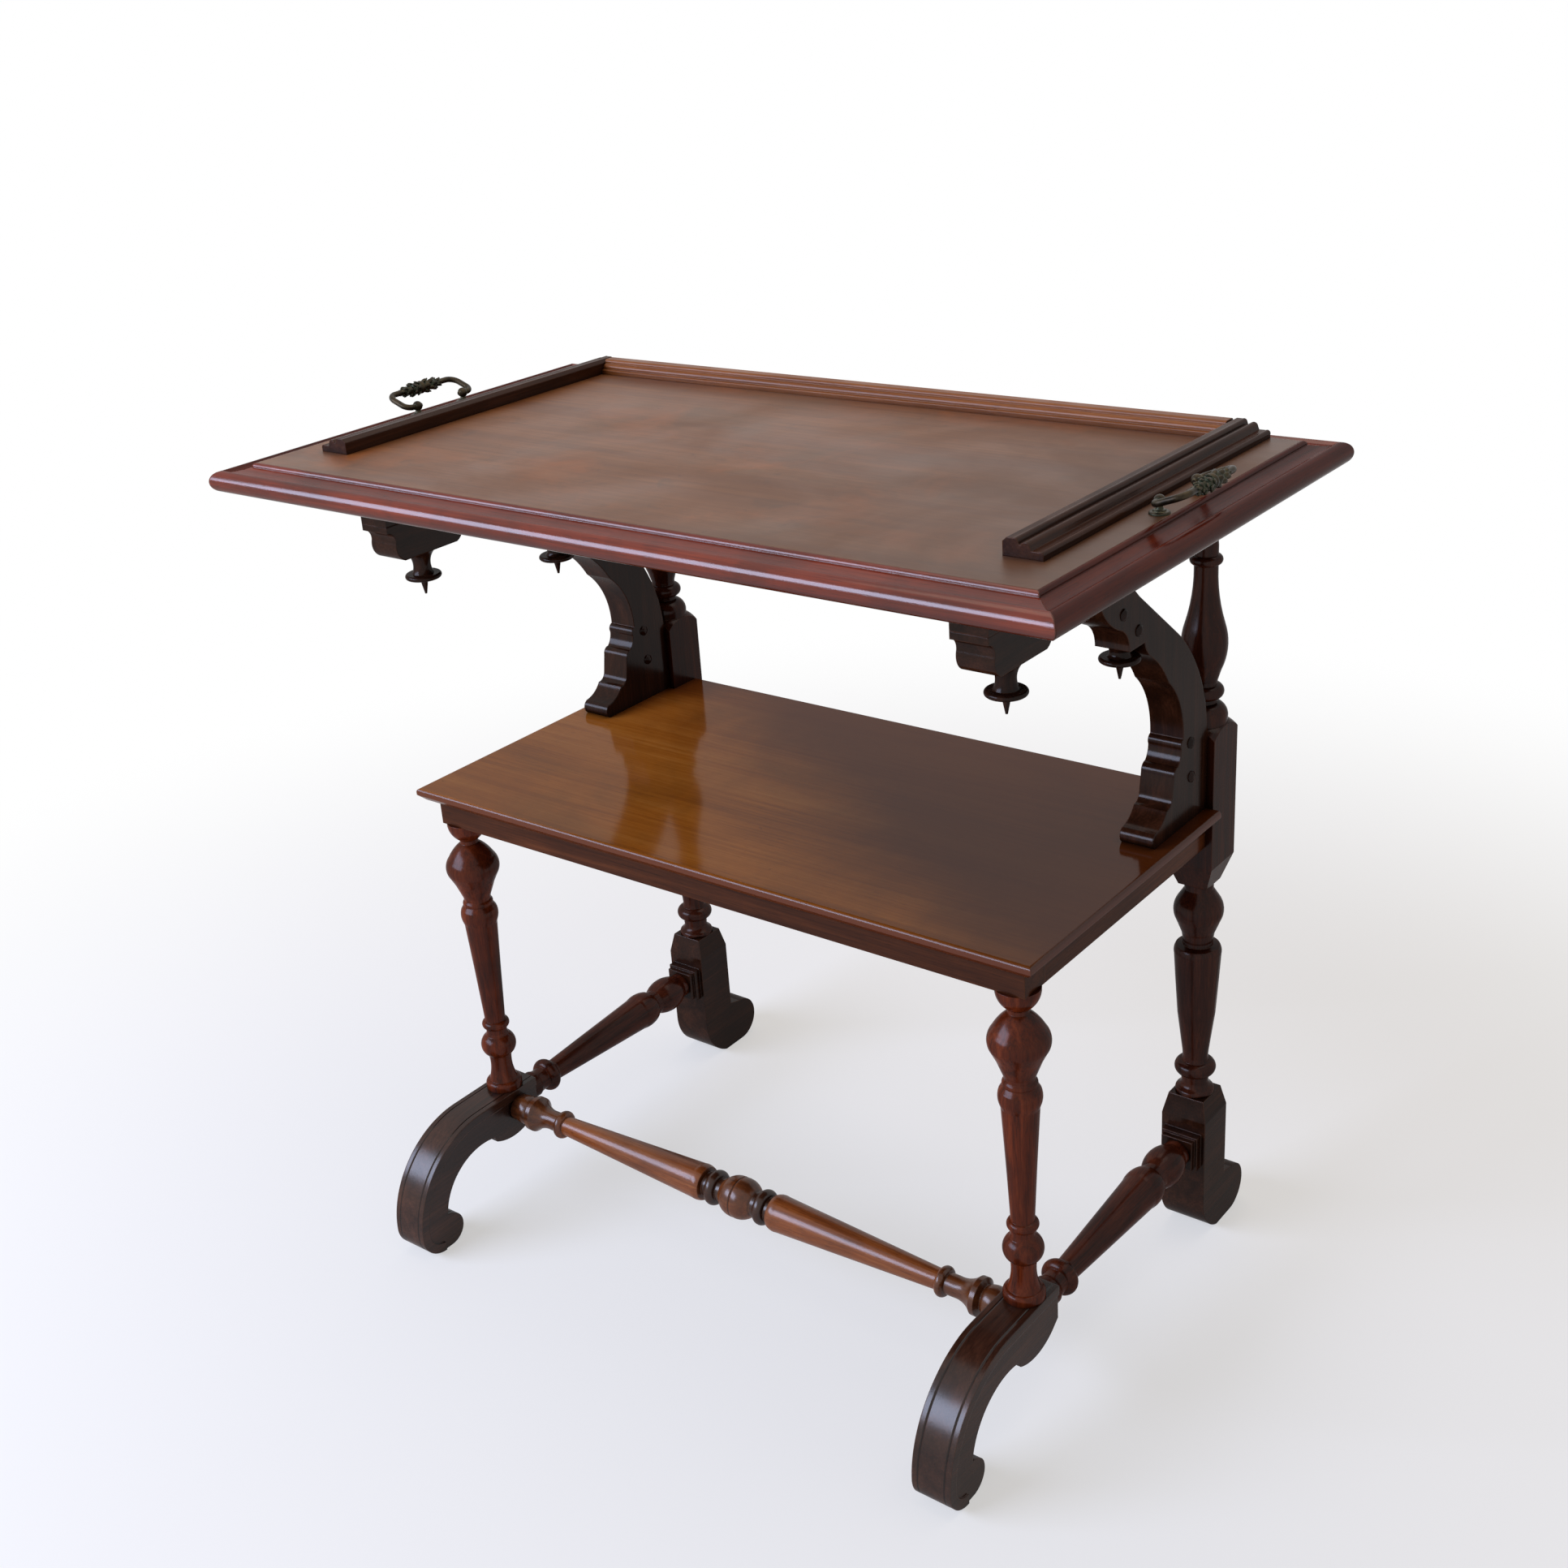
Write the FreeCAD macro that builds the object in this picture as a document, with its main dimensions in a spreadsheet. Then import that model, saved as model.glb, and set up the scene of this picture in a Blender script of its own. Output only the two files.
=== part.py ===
# Two-tier tea table with a lift-off tray top, bail handles and a turned frame on scroll feet.
# Millimetres, +Z up. The origin is on the floor, under the middle of the overall box.
import FreeCAD, Part
import os
from types import SimpleNamespace

import Sketcher

# Driving dimensions
driving_sizes = {
    # Overall frame
    "top_height": 760,            # floor to the tray's field
    "leg_inset": 111.5,           # leg's axis inside the tray's end
    "leg_depth": 301,             # front leg axis to rear post axis
    "tenon_radius": 9,
    "tenon_length": 16,
    "foot_tenon_length": 10,      # of a leg in its foot
    "glue_line": 0.05,            # round a tenon in its socket
    "socket_spare": 1,            # past a tenon's end
    "overrun": 2,                 # how far a cut runs past what it cuts
    # Tray
    "tray_width": 816,
    "tray_depth": 449,
    "tray_forward": 14,           # tray's middle, ahead of the origin
    "board_thickness": 20,
    "edge_width": 30,
    "edge_drop": 2,               # moulding below the board's underside
    "edge_step": 3.5,             # field above the cove of the moulding
    "nose_radius": 9,
    # Gallery on the tray
    "gallery_height": 13,
    "strip_inset": 86,            # side strip's inner face inside the tray's end
    "strip_width": 31,
    "strip_setback": 80,          # from the tray's front edge to the strip's end
    "back_strip_width": 18,
    # Bail handles
    "bail_wire_radius": 2.6,
    "bail_pin_radius": 1.8,
    "pin_clearance": 0.06,
    "bail_feet_spacing": 56,
    "bail_span": 80,              # over the middle of the side arms
    "bail_reach": 26,             # pivot to the middle of the grip
    "bail_lean_angle": 20,        # above level, at rest
    "bail_setback": 10,           # bail's middle behind the tray's middle
    "bail_bead_radius": 5.8,
    "bail_corner_radius": 9,
    "pin_end_gap": 0.4,           # wire clear of the eye
    "pin_lap": 1,                 # pin's root inside the wire
    "eye_radius": 4.4,
    "eye_height": 9,              # pivot above the tray's field
    "rosette_radius": 7.5,
    "shank_radius": 2.2,
    "shank_length": 14,
    "rosette_gap": 9,             # rosette clear of the gallery strip
    # Shelf
    "shelf_height": 442,
    "shelf_thickness": 12,
    "shelf_overhang": 14,
    "shelf_back_rebate": 10.5,    # shelf's back edge ahead of the post's back face
    "lip_round": 3,
    "lip_bevel": 6,
    "rail_height": 25,
    "rail_thickness": 30,
    # Rear posts
    "post_block": 43,
    "block_height": 127.5,
    "block_below_shelf": 58,
    "block_taper": 24,
    "block_shoulder": 12,         # height of the turned corners at the block's top
    "post_radius": 21.8,
    "post_turning_radius": 20.6,
    # Bearers under the tray
    "bearer_width": 31,
    "bearer_height": 35,          # below the tray's moulding
    "bearer_gap": 0.5,            # between bearer and moulding
    "tray_play": 2,               # bearer's step inside the tray's rim
    "cross_rail_height": 29,
    "cross_rail_thickness": 20,
    # Front pendant blocks
    "drop_block_length": 92,
    "drop_block_height": 33,
    "drop_block_setback": 76,     # from the tray's front edge
    # Pendants
    "front_pendant_radius": 16,
    "front_stem_length": 22,
    "rear_pendant_radius": 16.5,
    "rear_stem_length": 9,
    "pendant_disc_thickness": 4.5,
    "pendant_tip_length": 14.5,
    "pendant_pin_radius": 5,
    "pendant_pin_length": 14,
    # Scroll brackets
    "bracket_thickness": 30,
    "bracket_reach": 187,
    # Front legs and feet
    "leg_radius": 25,
    "front_foot_width": 36,
    "front_foot_height": 117,
    "front_foot_reach": 143,      # ahead of the leg's axis
    "front_foot_heel": 25,        # behind the leg's axis
    "cheek_recess": 1.5,
    "edge_band": 9,
    # Rear feet
    "rear_foot_height": 127,
    "rear_foot_taper": 20,
    "rear_foot_reach": 60,        # behind the post's axis
    "boss_width": 35,             # pad on the block that takes the stretcher
    "boss_depth": 13,
    # Stretchers
    "stretcher_height": 97,
    "front_stretcher_radius": 19,
    "side_stretcher_radius": 19.5,
    "round_tenon_radius": 6,
}

doc = FreeCAD.newDocument("tea_table")
sheet = doc.addObject("Spreadsheet::Sheet", "sizes")
for row, (name, number) in enumerate(driving_sizes.items(), start=1):
    sheet.set(f"A{row}", name)
    sheet.set(f"B{row}", str(number))
    sheet.setAlias(f"B{row}", name)
doc.recompute()


class Length:
    # A length as its number and as the expression that ties it to the sheet.
    def __init__(self, text, value):
        self.text = text
        self.value = value

    def __add__(self, other):
        return Length(f"({self.text} + {other.text})", self.value + other.value)

    def __sub__(self, other):
        return Length(f"({self.text} - {other.text})", self.value - other.value)

    def __mul__(self, share):
        return Length(f"{self.text} * ({share})", self.value * share)

    def __truediv__(self, count):
        return Length(f"{self.text} / {count}", self.value / count)

    def __neg__(self):
        return Length(f"(-{self.text})", -self.value)


size = SimpleNamespace(**{name: Length(f"sizes.{name}", sheet.get(name)) for name in driving_sizes})
nothing = Length("0", 0)

# Places that several pieces share
leg_x = size.tray_width / 2 - size.leg_inset
front_y = (size.front_foot_reach - size.leg_depth - size.rear_foot_reach) / 2
rear_y = front_y + size.leg_depth
half_block = size.post_block / 2
block_face_y = rear_y - half_block
block_bottom = size.shelf_height - size.block_below_shelf
block_top = block_bottom + size.block_height
rail_bottom = size.shelf_height - size.shelf_thickness - size.rail_height
tray_front_y = -size.tray_forward - size.tray_depth / 2
tray_back_y = -size.tray_forward + size.tray_depth / 2
board_bottom = size.top_height - size.board_thickness
tray_bottom = board_bottom - size.edge_drop
bearer_shoulder = tray_bottom - size.bearer_gap
bearer_bottom = bearer_shoulder - size.bearer_height
field_front_y = tray_front_y + size.edge_width
field_back_y = tray_back_y - size.edge_width
foot_side = size.front_foot_width / 2 - size.cheek_recess
rear_foot_top = size.rear_foot_height + size.rear_foot_taper
socket_radius = size.tenon_radius + size.glue_line
socket_depth = size.tenon_length + size.socket_spare
foot_socket_depth = size.foot_tenon_length + size.socket_spare
round_socket_radius = size.round_tenon_radius + size.glue_line
drop_block_y = tray_front_y + size.drop_block_setback + size.drop_block_length / 2
drop_block_bottom = bearer_bottom - size.drop_block_height
bracket_rise = bearer_bottom - size.shelf_height

sides = {"left": -1, "right": 1}
nodes = []

# Either leg of a right-angled triangle with equal legs
slant_share = 0.7071


# Small helpers for bodies, outlines and features
def new_body(label):
    body = doc.addObject("PartDesign::Body", label)
    body.Label = label
    nodes.append(body)
    return body


def place(body, x=nothing, y=nothing, z=nothing, rotation=FreeCAD.Rotation()):
    body.Placement = FreeCAD.Placement(FreeCAD.Vector(x.value, y.value, z.value), rotation)
    for axis, length in zip("xyz", (x, y, z)):
        body.setExpression(f"Placement.Base.{axis}", length.text)


def origin_plane(body, role):
    return next(item for item in body.Origin.OriginFeatures if item.Role == role)


def new_sketch(body, plane, offset=nothing):
    sketch = body.newObject("Sketcher::SketchObject", body.Label + "_sketch")
    sketch.AttachmentSupport = [(origin_plane(body, plane), "")]
    sketch.MapMode = "FlatFace"
    sketch.setExpression("AttachmentOffset.Base.z", offset.text)
    return sketch


def hold(sketch, geometry, point, across, along):
    # Ties one point of a sketch to a place across and along from the sketch's origin.
    for kind, axis, length in (("DistanceX", -2, across), ("DistanceY", -1, along)):
        if length is nothing:
            sketch.addConstraint(Sketcher.Constraint("PointOnObject", geometry, point, axis))
            continue
        index = sketch.addConstraint(
            Sketcher.Constraint(kind, -1, 1, geometry, point, length.value))
        sketch.setExpression(f"Constraints[{index}]", length.text)


def draw(sketch, runs, closed=True):
    # A run of two lengths is a straight line to that point, and a run of four is an arc
    # through the first pair to the second. A closed outline starts at its last run's end.
    vectors = [[FreeCAD.Vector(run[i].value, run[i + 1].value, 0) for i in range(0, len(run), 2)]
               for run in runs]
    starts = vectors[-1:] + vectors[:-1]
    ends = []
    for index, (run, points) in enumerate(zip(runs, vectors)):
        if index == 0 and not closed:
            continue
        start, finish = starts[index][-1], points[-1]
        head, tail = 1, 2
        if len(points) == 1:
            geometry = sketch.addGeometry(Part.LineSegment(start, finish), False)
        else:
            geometry = sketch.addGeometry(Part.Arc(start, points[0], finish), False)
            if (points[0] - start).cross(finish - points[0]).z < 0:
                head, tail = 2, 1
            middle = sketch.addGeometry(Part.Point(points[0]), True)
            hold(sketch, middle, 1, run[0], run[1])
            sketch.addConstraint(Sketcher.Constraint("PointOnObject", middle, 1, geometry))
        hold(sketch, geometry, tail, run[-2], run[-1])
        ends.append((geometry, head, tail))
    if not closed:
        hold(sketch, ends[0][0], ends[0][1], *runs[0])
    joints = list(zip(ends, ends[1:] + (ends[:1] if closed else [])))
    for (before, _, tail), (after, head, _) in joints:
        sketch.addConstraint(Sketcher.Constraint("Coincident", before, tail, after, head))


def draw_circle(sketch, radius, across, along):
    centre = FreeCAD.Vector(across.value, along.value, 0)
    circle = sketch.addGeometry(Part.Circle(centre, FreeCAD.Vector(0, 0, 1), radius.value), False)
    index = sketch.addConstraint(Sketcher.Constraint("Radius", circle, radius.value))
    sketch.setExpression(f"Constraints[{index}]", radius.text)
    hold(sketch, circle, 3, across, along)


def rectangle(left, right, low, high):
    return [(right, low), (right, high), (left, high), (left, low)]


def pad(body, plane, runs, length, offset=nothing, both_ways=True):
    sketch = new_sketch(body, plane, offset)
    draw(sketch, runs)
    feature = body.newObject("PartDesign::Pad", body.Label + "_pad")
    feature.Profile = sketch
    feature.SideType = "Symmetric" if both_ways else "One side"
    feature.setExpression("Length", length.text)
    return feature


def turn(body, runs, plane="XZ_Plane", reference="V_Axis", offset=nothing, kind="Revolution"):
    sketch = new_sketch(body, plane, offset)
    draw(sketch, runs)
    feature = body.newObject(f"PartDesign::{kind}", body.Label + "_turning")
    feature.Profile = sketch
    feature.ReferenceAxis = (sketch, [reference])
    feature.Angle = 360
    return feature


def loft(body, sections):
    # Square sections, each given as its half width and its height.
    sketches = []
    for half, height in sections:
        sketch = new_sketch(body, "XY_Plane", height)
        draw(sketch, rectangle(-half, half, -half, half))
        sketches.append(sketch)
    feature = body.newObject("PartDesign::AdditiveLoft", body.Label + "_taper")
    feature.Profile = sketches[0]
    feature.Sections = sketches[1:]
    feature.Ruled = True


def cylinder(body, kind, radius, length, start, toward):
    feature = body.newObject(f"PartDesign::{kind}Cylinder", body.Label + "_round")
    turn_to = FreeCAD.Rotation(FreeCAD.Vector(0, 0, 1), FreeCAD.Vector(*toward))
    feature.Placement = FreeCAD.Placement(FreeCAD.Vector(*[at.value for at in start]), turn_to)
    for axis, at in zip("xyz", start):
        feature.setExpression(f"Placement.Base.{axis}", at.text)
    feature.setExpression("Radius", radius.text)
    feature.setExpression("Height", length.text)
    return feature


def drill(body, radius, depth, x, y, z, toward):
    # A round socket that starts at a face and goes in the given direction.
    start = [at - size.overrun * step for at, step in zip((x, y, z), toward)]
    cylinder(body, "Subtractive", radius, depth + size.overrun, start, toward)


def shaped(table, across, along):
    # An outline's table of shares as lengths: every pair is (share across, share along).
    return [tuple((across, along)[i % 2] * share if share else nothing for i, share in enumerate(row))
            for row in table]


def lathe(table, radius, length, foot=None, head=()):
    # A turned outline from a table of (radius share, length share), with a tenon at its foot
    # and steps at its head. A tenon or a step is (radius, length).
    runs = shaped(table, radius, length)
    low, high = nothing, runs[-1][-1]
    if foot:
        low = -foot[1]
        runs = [(foot[0], low), (foot[0], nothing)] + runs
    for step_radius, step_length in head:
        top = high + step_length
        runs = runs + [(step_radius, high), (step_radius, top)]
        high = top
    return runs + [(nothing, high), (nothing, low)]


leg_tenon = (size.tenon_radius, size.tenon_length)
foot_tenon = (size.tenon_radius, size.foot_tenon_length)
round_tenon = (size.round_tenon_radius, size.tenon_length)
along_x = FreeCAD.Rotation(FreeCAD.Vector(0, 1, 0), 90)
along_y = FreeCAD.Rotation(FreeCAD.Vector(1, 0, 0), -90)
up, down = (0, 0, 1), (0, 0, -1)
to_back, to_front = (0, 1, 0), (0, -1, 0)

# Front feet: a scroll that sweeps forward from a junction block, with a band along its edge.
# Shares of the reach ahead of the leg and of the foot's height.
bend_shares = (0.364, 1.0)
sweep_shares = (0.813, 0.772)
nose_shares = (1.0, 0.222)
toe_shares = (0.947, 0.065)
sole_shares = (0.818, 0.0)
foot_shares = [
    bend_shares,
    sweep_shares + nose_shares,
    toe_shares + sole_shares,
    (0.755, 0.0),
    (0.636, 0.145, 0.755, 0.291),
    (0.645, 0.567, 0.252, 0.69),
    (0.238, 0.641),
    (0.056, 0.59, -0.112, 0.658),
]
heel_share = 0.718


def front_foot(side, sign):
    body = new_body(f"front_foot_{side}")
    forward, height, heel = -size.front_foot_reach, size.front_foot_height, size.front_foot_heel
    runs = shaped(foot_shares, forward, height)
    heel_runs = [(heel, height * heel_share), (heel, height)]
    pad(body, "YZ_Plane", runs + heel_runs, size.front_foot_width - size.cheek_recess * 2)
    bend, sweep, toe = runs[:3]
    band = size.edge_band
    slant = band * slant_share
    band_runs = [
        bend,
        sweep,
        toe,
        (toe[2], band),
        (toe[0] + slant, toe[1] + slant, sweep[2] + band, sweep[3]),
        (sweep[0] + slant, sweep[1] - slant, bend[0], bend[1] - band),
        (heel, height - band),
        (heel, height),
    ]
    pad(body, "YZ_Plane", band_runs, size.front_foot_width)
    drill(body, socket_radius, foot_socket_depth, nothing, nothing, height, down)
    drill(body, round_socket_radius, socket_depth, foot_side * -sign, nothing, size.stretcher_height,
          (sign, 0, 0))
    drill(body, round_socket_radius, socket_depth, nothing, heel, size.stretcher_height, to_front)
    place(body, leg_x * sign, front_y)


# Rear feet: a square block with a broached top, a stepped boss and a scroll that curls back
rear_scroll_shares = [
    (0.133, 0.0),
    (0.6, 0.0),
    (1.0, 0.189, 0.6, 0.378),
]
rear_front_share, rear_heel_share = 0.33, 0.41
rear_toe_shares = (0.222, 0.129)
broach_share = 0.8
# Boss: its first step's depth and its outer step's width
boss_step_share, boss_face_share = 0.6, 0.86


def rear_foot(side, sign):
    body = new_body(f"rear_foot_{side}")
    reach, height = size.rear_foot_reach, size.rear_foot_height
    scroll = shaped(rear_scroll_shares, reach, height)
    toe = (-(reach * rear_toe_shares[0]), height * rear_toe_shares[1])
    runs = [
        (-half_block, height * rear_front_share),
        toe + scroll[0],
        *scroll[1:],
        (half_block, height * rear_heel_share),
        (half_block, height),
        (-half_block, height),
    ]
    pad(body, "YZ_Plane", runs, size.post_block)
    loft(body, [(half_block, height), (half_block * broach_share, rear_foot_top)])
    for share, depth in ((1, size.boss_depth * boss_step_share), (boss_face_share, size.boss_depth)):
        half = size.boss_width * share / 2
        pad(body, "XZ_Plane",
            rectangle(-half, half, size.stretcher_height - half, size.stretcher_height + half),
            depth, half_block, both_ways=False)
    drill(body, socket_radius, foot_socket_depth, nothing, nothing, rear_foot_top, down)
    drill(body, round_socket_radius, socket_depth, nothing, -(half_block + size.boss_depth),
          size.stretcher_height, to_back)
    place(body, leg_x * sign, rear_y)


# Front legs, from the foot's top to the underside of the shelf's rail.
# Shares of the largest radius and of the leg's length.
leg_shares = [
    (0.70, 0.0),
    (0.70, 0.014),
    (0.66, 0.026, 0.55, 0.031),
    (0.46, 0.058, 0.43, 0.118),
    (0.45, 0.128),
    (0.68, 0.166, 0.45, 0.204),
    (0.40, 0.214),
    (0.40, 0.231),
    (0.53, 0.246, 0.40, 0.261),
    (0.40, 0.274),
    (0.50, 0.45),
    (0.62, 0.63),
    (0.665, 0.642),
    (0.71, 0.664, 0.67, 0.684),
    (0.60, 0.694),
    (0.55, 0.70),
    (0.57, 0.707, 0.54, 0.714),
    (0.50, 0.718),
    (0.52, 0.73),
    (0.74, 0.78),
    (0.90, 0.808),
    (1.0, 0.84, 0.86, 0.872),
    (0.62, 0.902, 0.34, 0.924),
    (0.34, 0.936),
    (0.58, 0.956, 0.72, 0.99),
    (0.72, 1.0),
]


def front_leg(side, sign):
    body = new_body(f"front_leg_{side}")
    length = rail_bottom - size.front_foot_height
    turn(body, lathe(leg_shares, size.leg_radius, length, foot_tenon, [leg_tenon]))
    place(body, leg_x * sign, front_y, size.front_foot_height)


# Rear posts: a turning, a square block at the shelf and a baluster up to the bearer
post_low_shares = [
    (0.78, 0.0),
    (0.80, 0.012, 0.74, 0.022),
    (0.60, 0.036, 0.56, 0.062),
    (0.56, 0.086),
    (0.85, 0.12, 0.56, 0.152),
    (0.52, 0.172),
    (0.54, 0.2),
    (0.77, 0.385),
    (0.89, 0.57),
    (0.95, 0.67),
    (0.95, 0.69, 0.88, 0.708),
    (0.62, 0.714),
    (0.60, 0.73),
    (0.66, 0.768),
    (0.90, 0.83),
    (1.0, 0.88, 0.84, 0.928),
    (0.58, 0.97),
    (0.58, 1.0),
]
post_high_shares = [
    (1.0, 0.0),
    (1.0, 0.02),
    (0.90, 0.064, 0.56, 0.09),
    (0.56, 0.108),
    (0.83, 0.14, 0.56, 0.172),
    (0.56, 0.19),
    (0.70, 0.24),
    (0.93, 0.34, 0.80, 0.45),
    (0.60, 0.54, 0.48, 0.7),
    (0.48, 0.714),
    (0.66, 0.736, 0.48, 0.758),
    (0.48, 0.8),
    (0.52, 0.86, 0.72, 0.9),
    (0.72, 1.0),
]
taper_share = 0.62
# Turned corners at the block's top: shares of the block's half width and of the shoulder's height
corner_share, corner_bulge_share, corner_top_share = 1.5, 1.27, 0.98
corner_mid_share = 0.38


def rear_post(side, sign):
    body = new_body(f"rear_post_{side}")
    low_length = block_bottom - size.block_taper - rear_foot_top
    turn(body, lathe(post_low_shares, size.post_radius, low_length, foot_tenon))
    block_low, block_high = block_bottom - rear_foot_top, block_top - rear_foot_top
    loft(body, [(half_block * taper_share, low_length), (half_block, block_low),
                (half_block, block_high)])
    corner = half_block * corner_share
    turn(body, [
        (half_block * corner_bulge_share, block_high - size.block_shoulder * corner_mid_share,
         half_block * corner_top_share, block_high),
        (corner, block_high),
        (corner, block_high - size.block_shoulder),
    ], kind="Groove")
    high_length = bearer_bottom - block_top
    runs = lathe(post_high_shares, size.post_turning_radius, high_length, head=[leg_tenon])
    turn(body, [tuple(length + block_high if i % 2 else length for i, length in enumerate(run))
                for run in runs])
    place(body, leg_x * sign, rear_y, rear_foot_top)


# Front stretcher, one half from its middle to its foot. Shares of its radius and half length.
front_stretcher_shares = [
    (1.0, 0.0),
    (0.92, 0.037, 0.66, 0.06),
    (0.60, 0.064),
    (0.60, 0.08),
    (0.87, 0.1, 0.60, 0.12),
    (0.60, 0.136),
    (0.82, 0.14),
    (0.89, 0.155, 0.88, 0.172),
    (0.50, 0.755),
    (0.50, 0.77),
    (0.72, 0.786, 0.50, 0.802),
    (0.50, 0.83),
    (0.58, 0.872, 0.90, 0.905),
    (0.90, 0.922),
    (0.64, 0.934),
    (0.74, 0.958, 0.70, 0.982),
    (0.70, 1.0),
]
# Collar under the band on the foot's cheek, as a share of the room there
collar_share = 0.95


def front_stretcher():
    body = new_body("front_stretcher")
    half_length = leg_x - size.front_foot_width / 2 - size.glue_line
    collar_radius = (size.front_foot_height - size.edge_band - size.stretcher_height) * collar_share
    collar = (collar_radius, size.cheek_recess + size.glue_line)
    half = turn(body, lathe(front_stretcher_shares, size.front_stretcher_radius, half_length,
                            head=[collar, round_tenon]))
    mirrored = body.newObject("PartDesign::Mirrored", "front_stretcher_halves")
    mirrored.Originals = [half]
    mirrored.MirrorPlane = (origin_plane(body, "XY_Plane"), [""])
    body.Tip = mirrored
    place(body, nothing, front_y, size.stretcher_height, along_x)


# Side stretchers, from the front foot's heel to the boss on the rear foot
side_stretcher_shares = [
    (0.68, 0.0),
    (0.68, 0.05),
    (0.58, 0.078, 0.60, 0.104),
    (0.86, 0.131, 0.60, 0.158),
    (0.54, 0.172),
    (0.90, 0.7),
    (0.95, 0.745, 0.84, 0.782),
    (0.68, 0.796),
    (0.68, 0.822),
    (0.93, 0.896, 0.70, 0.966),
    (0.66, 0.974),
    (0.66, 1.0),
]


def side_stretcher(side, sign):
    body = new_body(f"side_stretcher_{side}")
    start_y = front_y + size.front_foot_heel
    length = block_face_y - size.boss_depth - start_y
    runs = lathe(side_stretcher_shares, size.side_stretcher_radius, length, round_tenon, [round_tenon])
    turn(body, runs)
    place(body, leg_x * sign, start_y, size.stretcher_height, along_y)


# Shelf: a board with a moulded lip on four rails
def shelf_board():
    body = new_body("shelf_board")
    half_width = leg_x + size.rail_thickness / 2 + size.shelf_overhang
    front = front_y - size.rail_thickness / 2 - size.shelf_overhang
    back = rear_y + half_block - size.shelf_back_rebate
    notch = leg_x - half_block
    bottom = size.shelf_height - size.shelf_thickness
    runs = [
        (half_width, front),
        (half_width, block_face_y),
        (notch, block_face_y),
        (notch, back),
        (-notch, back),
        (-notch, block_face_y),
        (-half_width, block_face_y),
        (-half_width, front),
    ]
    board = pad(body, "XY_Plane", runs, size.shelf_thickness, bottom, both_ways=False)
    bevel = body.newObject("PartDesign::Chamfer", "shelf_bevel")
    bevel.Base = (board, lip_edges(board, half_width, front, bottom))
    bevel.setExpression("Size", size.lip_bevel.text)
    rounding = body.newObject("PartDesign::Fillet", "shelf_round")
    rounding.Base = (bevel, lip_edges(bevel, half_width, front, size.shelf_height))
    rounding.setExpression("Radius", size.lip_round.text)


def lip_edges(feature, half_width, front, height):
    # The level edges along a board's front and ends at one height.
    doc.recompute()
    near = size.glue_line.value
    found = []
    for number, edge in enumerate(feature.Shape.Edges, start=1):
        box = edge.BoundBox
        level = max(abs(box.ZMin - height.value), abs(box.ZMax - height.value)) < near
        at_front = box.YMax < front.value + near
        at_end = min(abs(box.XMin), abs(box.XMax)) > half_width.value - near
        if level and (at_front or at_end):
            found.append(f"Edge{number}")
    return found


def shelf_rails():
    half = size.rail_thickness / 2
    front_inside = front_y + half
    rail_z = rail_bottom + size.rail_height / 2
    front = new_body("shelf_rail_front")
    pad(front, "XY_Plane", rectangle(-(leg_x + half), leg_x + half, -half, half), size.rail_height)
    for sign in sides.values():
        drill(front, socket_radius, socket_depth, leg_x * sign, nothing, -(size.rail_height / 2), up)
    place(front, nothing, front_y, rail_z)
    side_length = block_face_y - front_inside
    for side, sign in sides.items():
        rail = new_body(f"shelf_rail_{side}")
        pad(rail, "XZ_Plane", rectangle(-half, half, -(size.rail_height / 2), size.rail_height / 2),
            side_length)
        place(rail, leg_x * sign, front_inside + side_length / 2, rail_z)
    back = new_body("shelf_rail_back")
    pad(back, "XY_Plane", rectangle(-(leg_x - half_block), leg_x - half_block, -half, half),
        size.rail_height)
    place(back, nothing, block_face_y + half, rail_z)


# Scroll brackets between the shelf, the rear post and the bearer.
# Shares of the reach ahead of the post's block and of the rise from shelf to bearer.
seat_back_share, seat_front_share, seat_height_share = 0.595, 0.72, 0.707
bracket_shares = [
    (0.486, 0.0),
    (0.506, 0.023, 0.481, 0.05),
    (0.429, 0.062, 0.377, 0.097),
    (0.345, 0.105, 0.33, 0.124),
    (0.314, 0.194),
    (0.304, 0.213, 0.278, 0.221),
    (0.262, 0.236, 0.25, 0.271),
    (0.248, 0.295, 0.232, 0.302),
    (0.268, 0.426, 0.376, 0.526),
    (0.458, 0.602, 0.55, 0.656),
    (0.575, 0.676, seat_back_share, seat_height_share),
    (seat_front_share, seat_height_share),
    (0.738, 0.754, 0.803, 0.792),
    (0.948, 0.88, 1.0, 1.0),
    (0.855, 1.0),
    (0.745, 0.929, 0.642, 0.86),
    (0.299, 0.667),
    (0.098, 0.496, 0.0, 0.27),
    (0.0, 0.0),
]


def bracket(side, sign):
    body = new_body(f"bracket_{side}")
    runs = shaped(bracket_shares, -size.bracket_reach, bracket_rise)
    pad(body, "YZ_Plane", runs, size.bracket_thickness)
    seat_y, seat_z = pendant_seat()
    drill(body, size.pendant_pin_radius + size.glue_line, size.pendant_pin_length + size.socket_spare,
          nothing, seat_y, seat_z, up)
    place(body, leg_x * sign, block_face_y, size.shelf_height)


def pendant_seat():
    seat_share = (seat_back_share + seat_front_share) / 2
    return -(size.bracket_reach * seat_share), bracket_rise * seat_height_share


# Bearers that the tray rests on, with a shoulder that clears the tray's rim at the back
def bearer(side, sign):
    body = new_body(f"bearer_{side}")
    front, back = drop_block_y - size.drop_block_length / 2, rear_y + half_block
    rim = field_back_y - size.tray_play
    runs = [
        (back, bearer_bottom),
        (back, bearer_shoulder),
        (rim, bearer_shoulder),
        (rim, board_bottom),
        (front, board_bottom),
        (front, bearer_bottom),
    ]
    pad(body, "YZ_Plane", runs, size.bearer_width)
    drill(body, socket_radius, socket_depth, nothing, rear_y, bearer_bottom, up)
    place(body, leg_x * sign)


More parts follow.
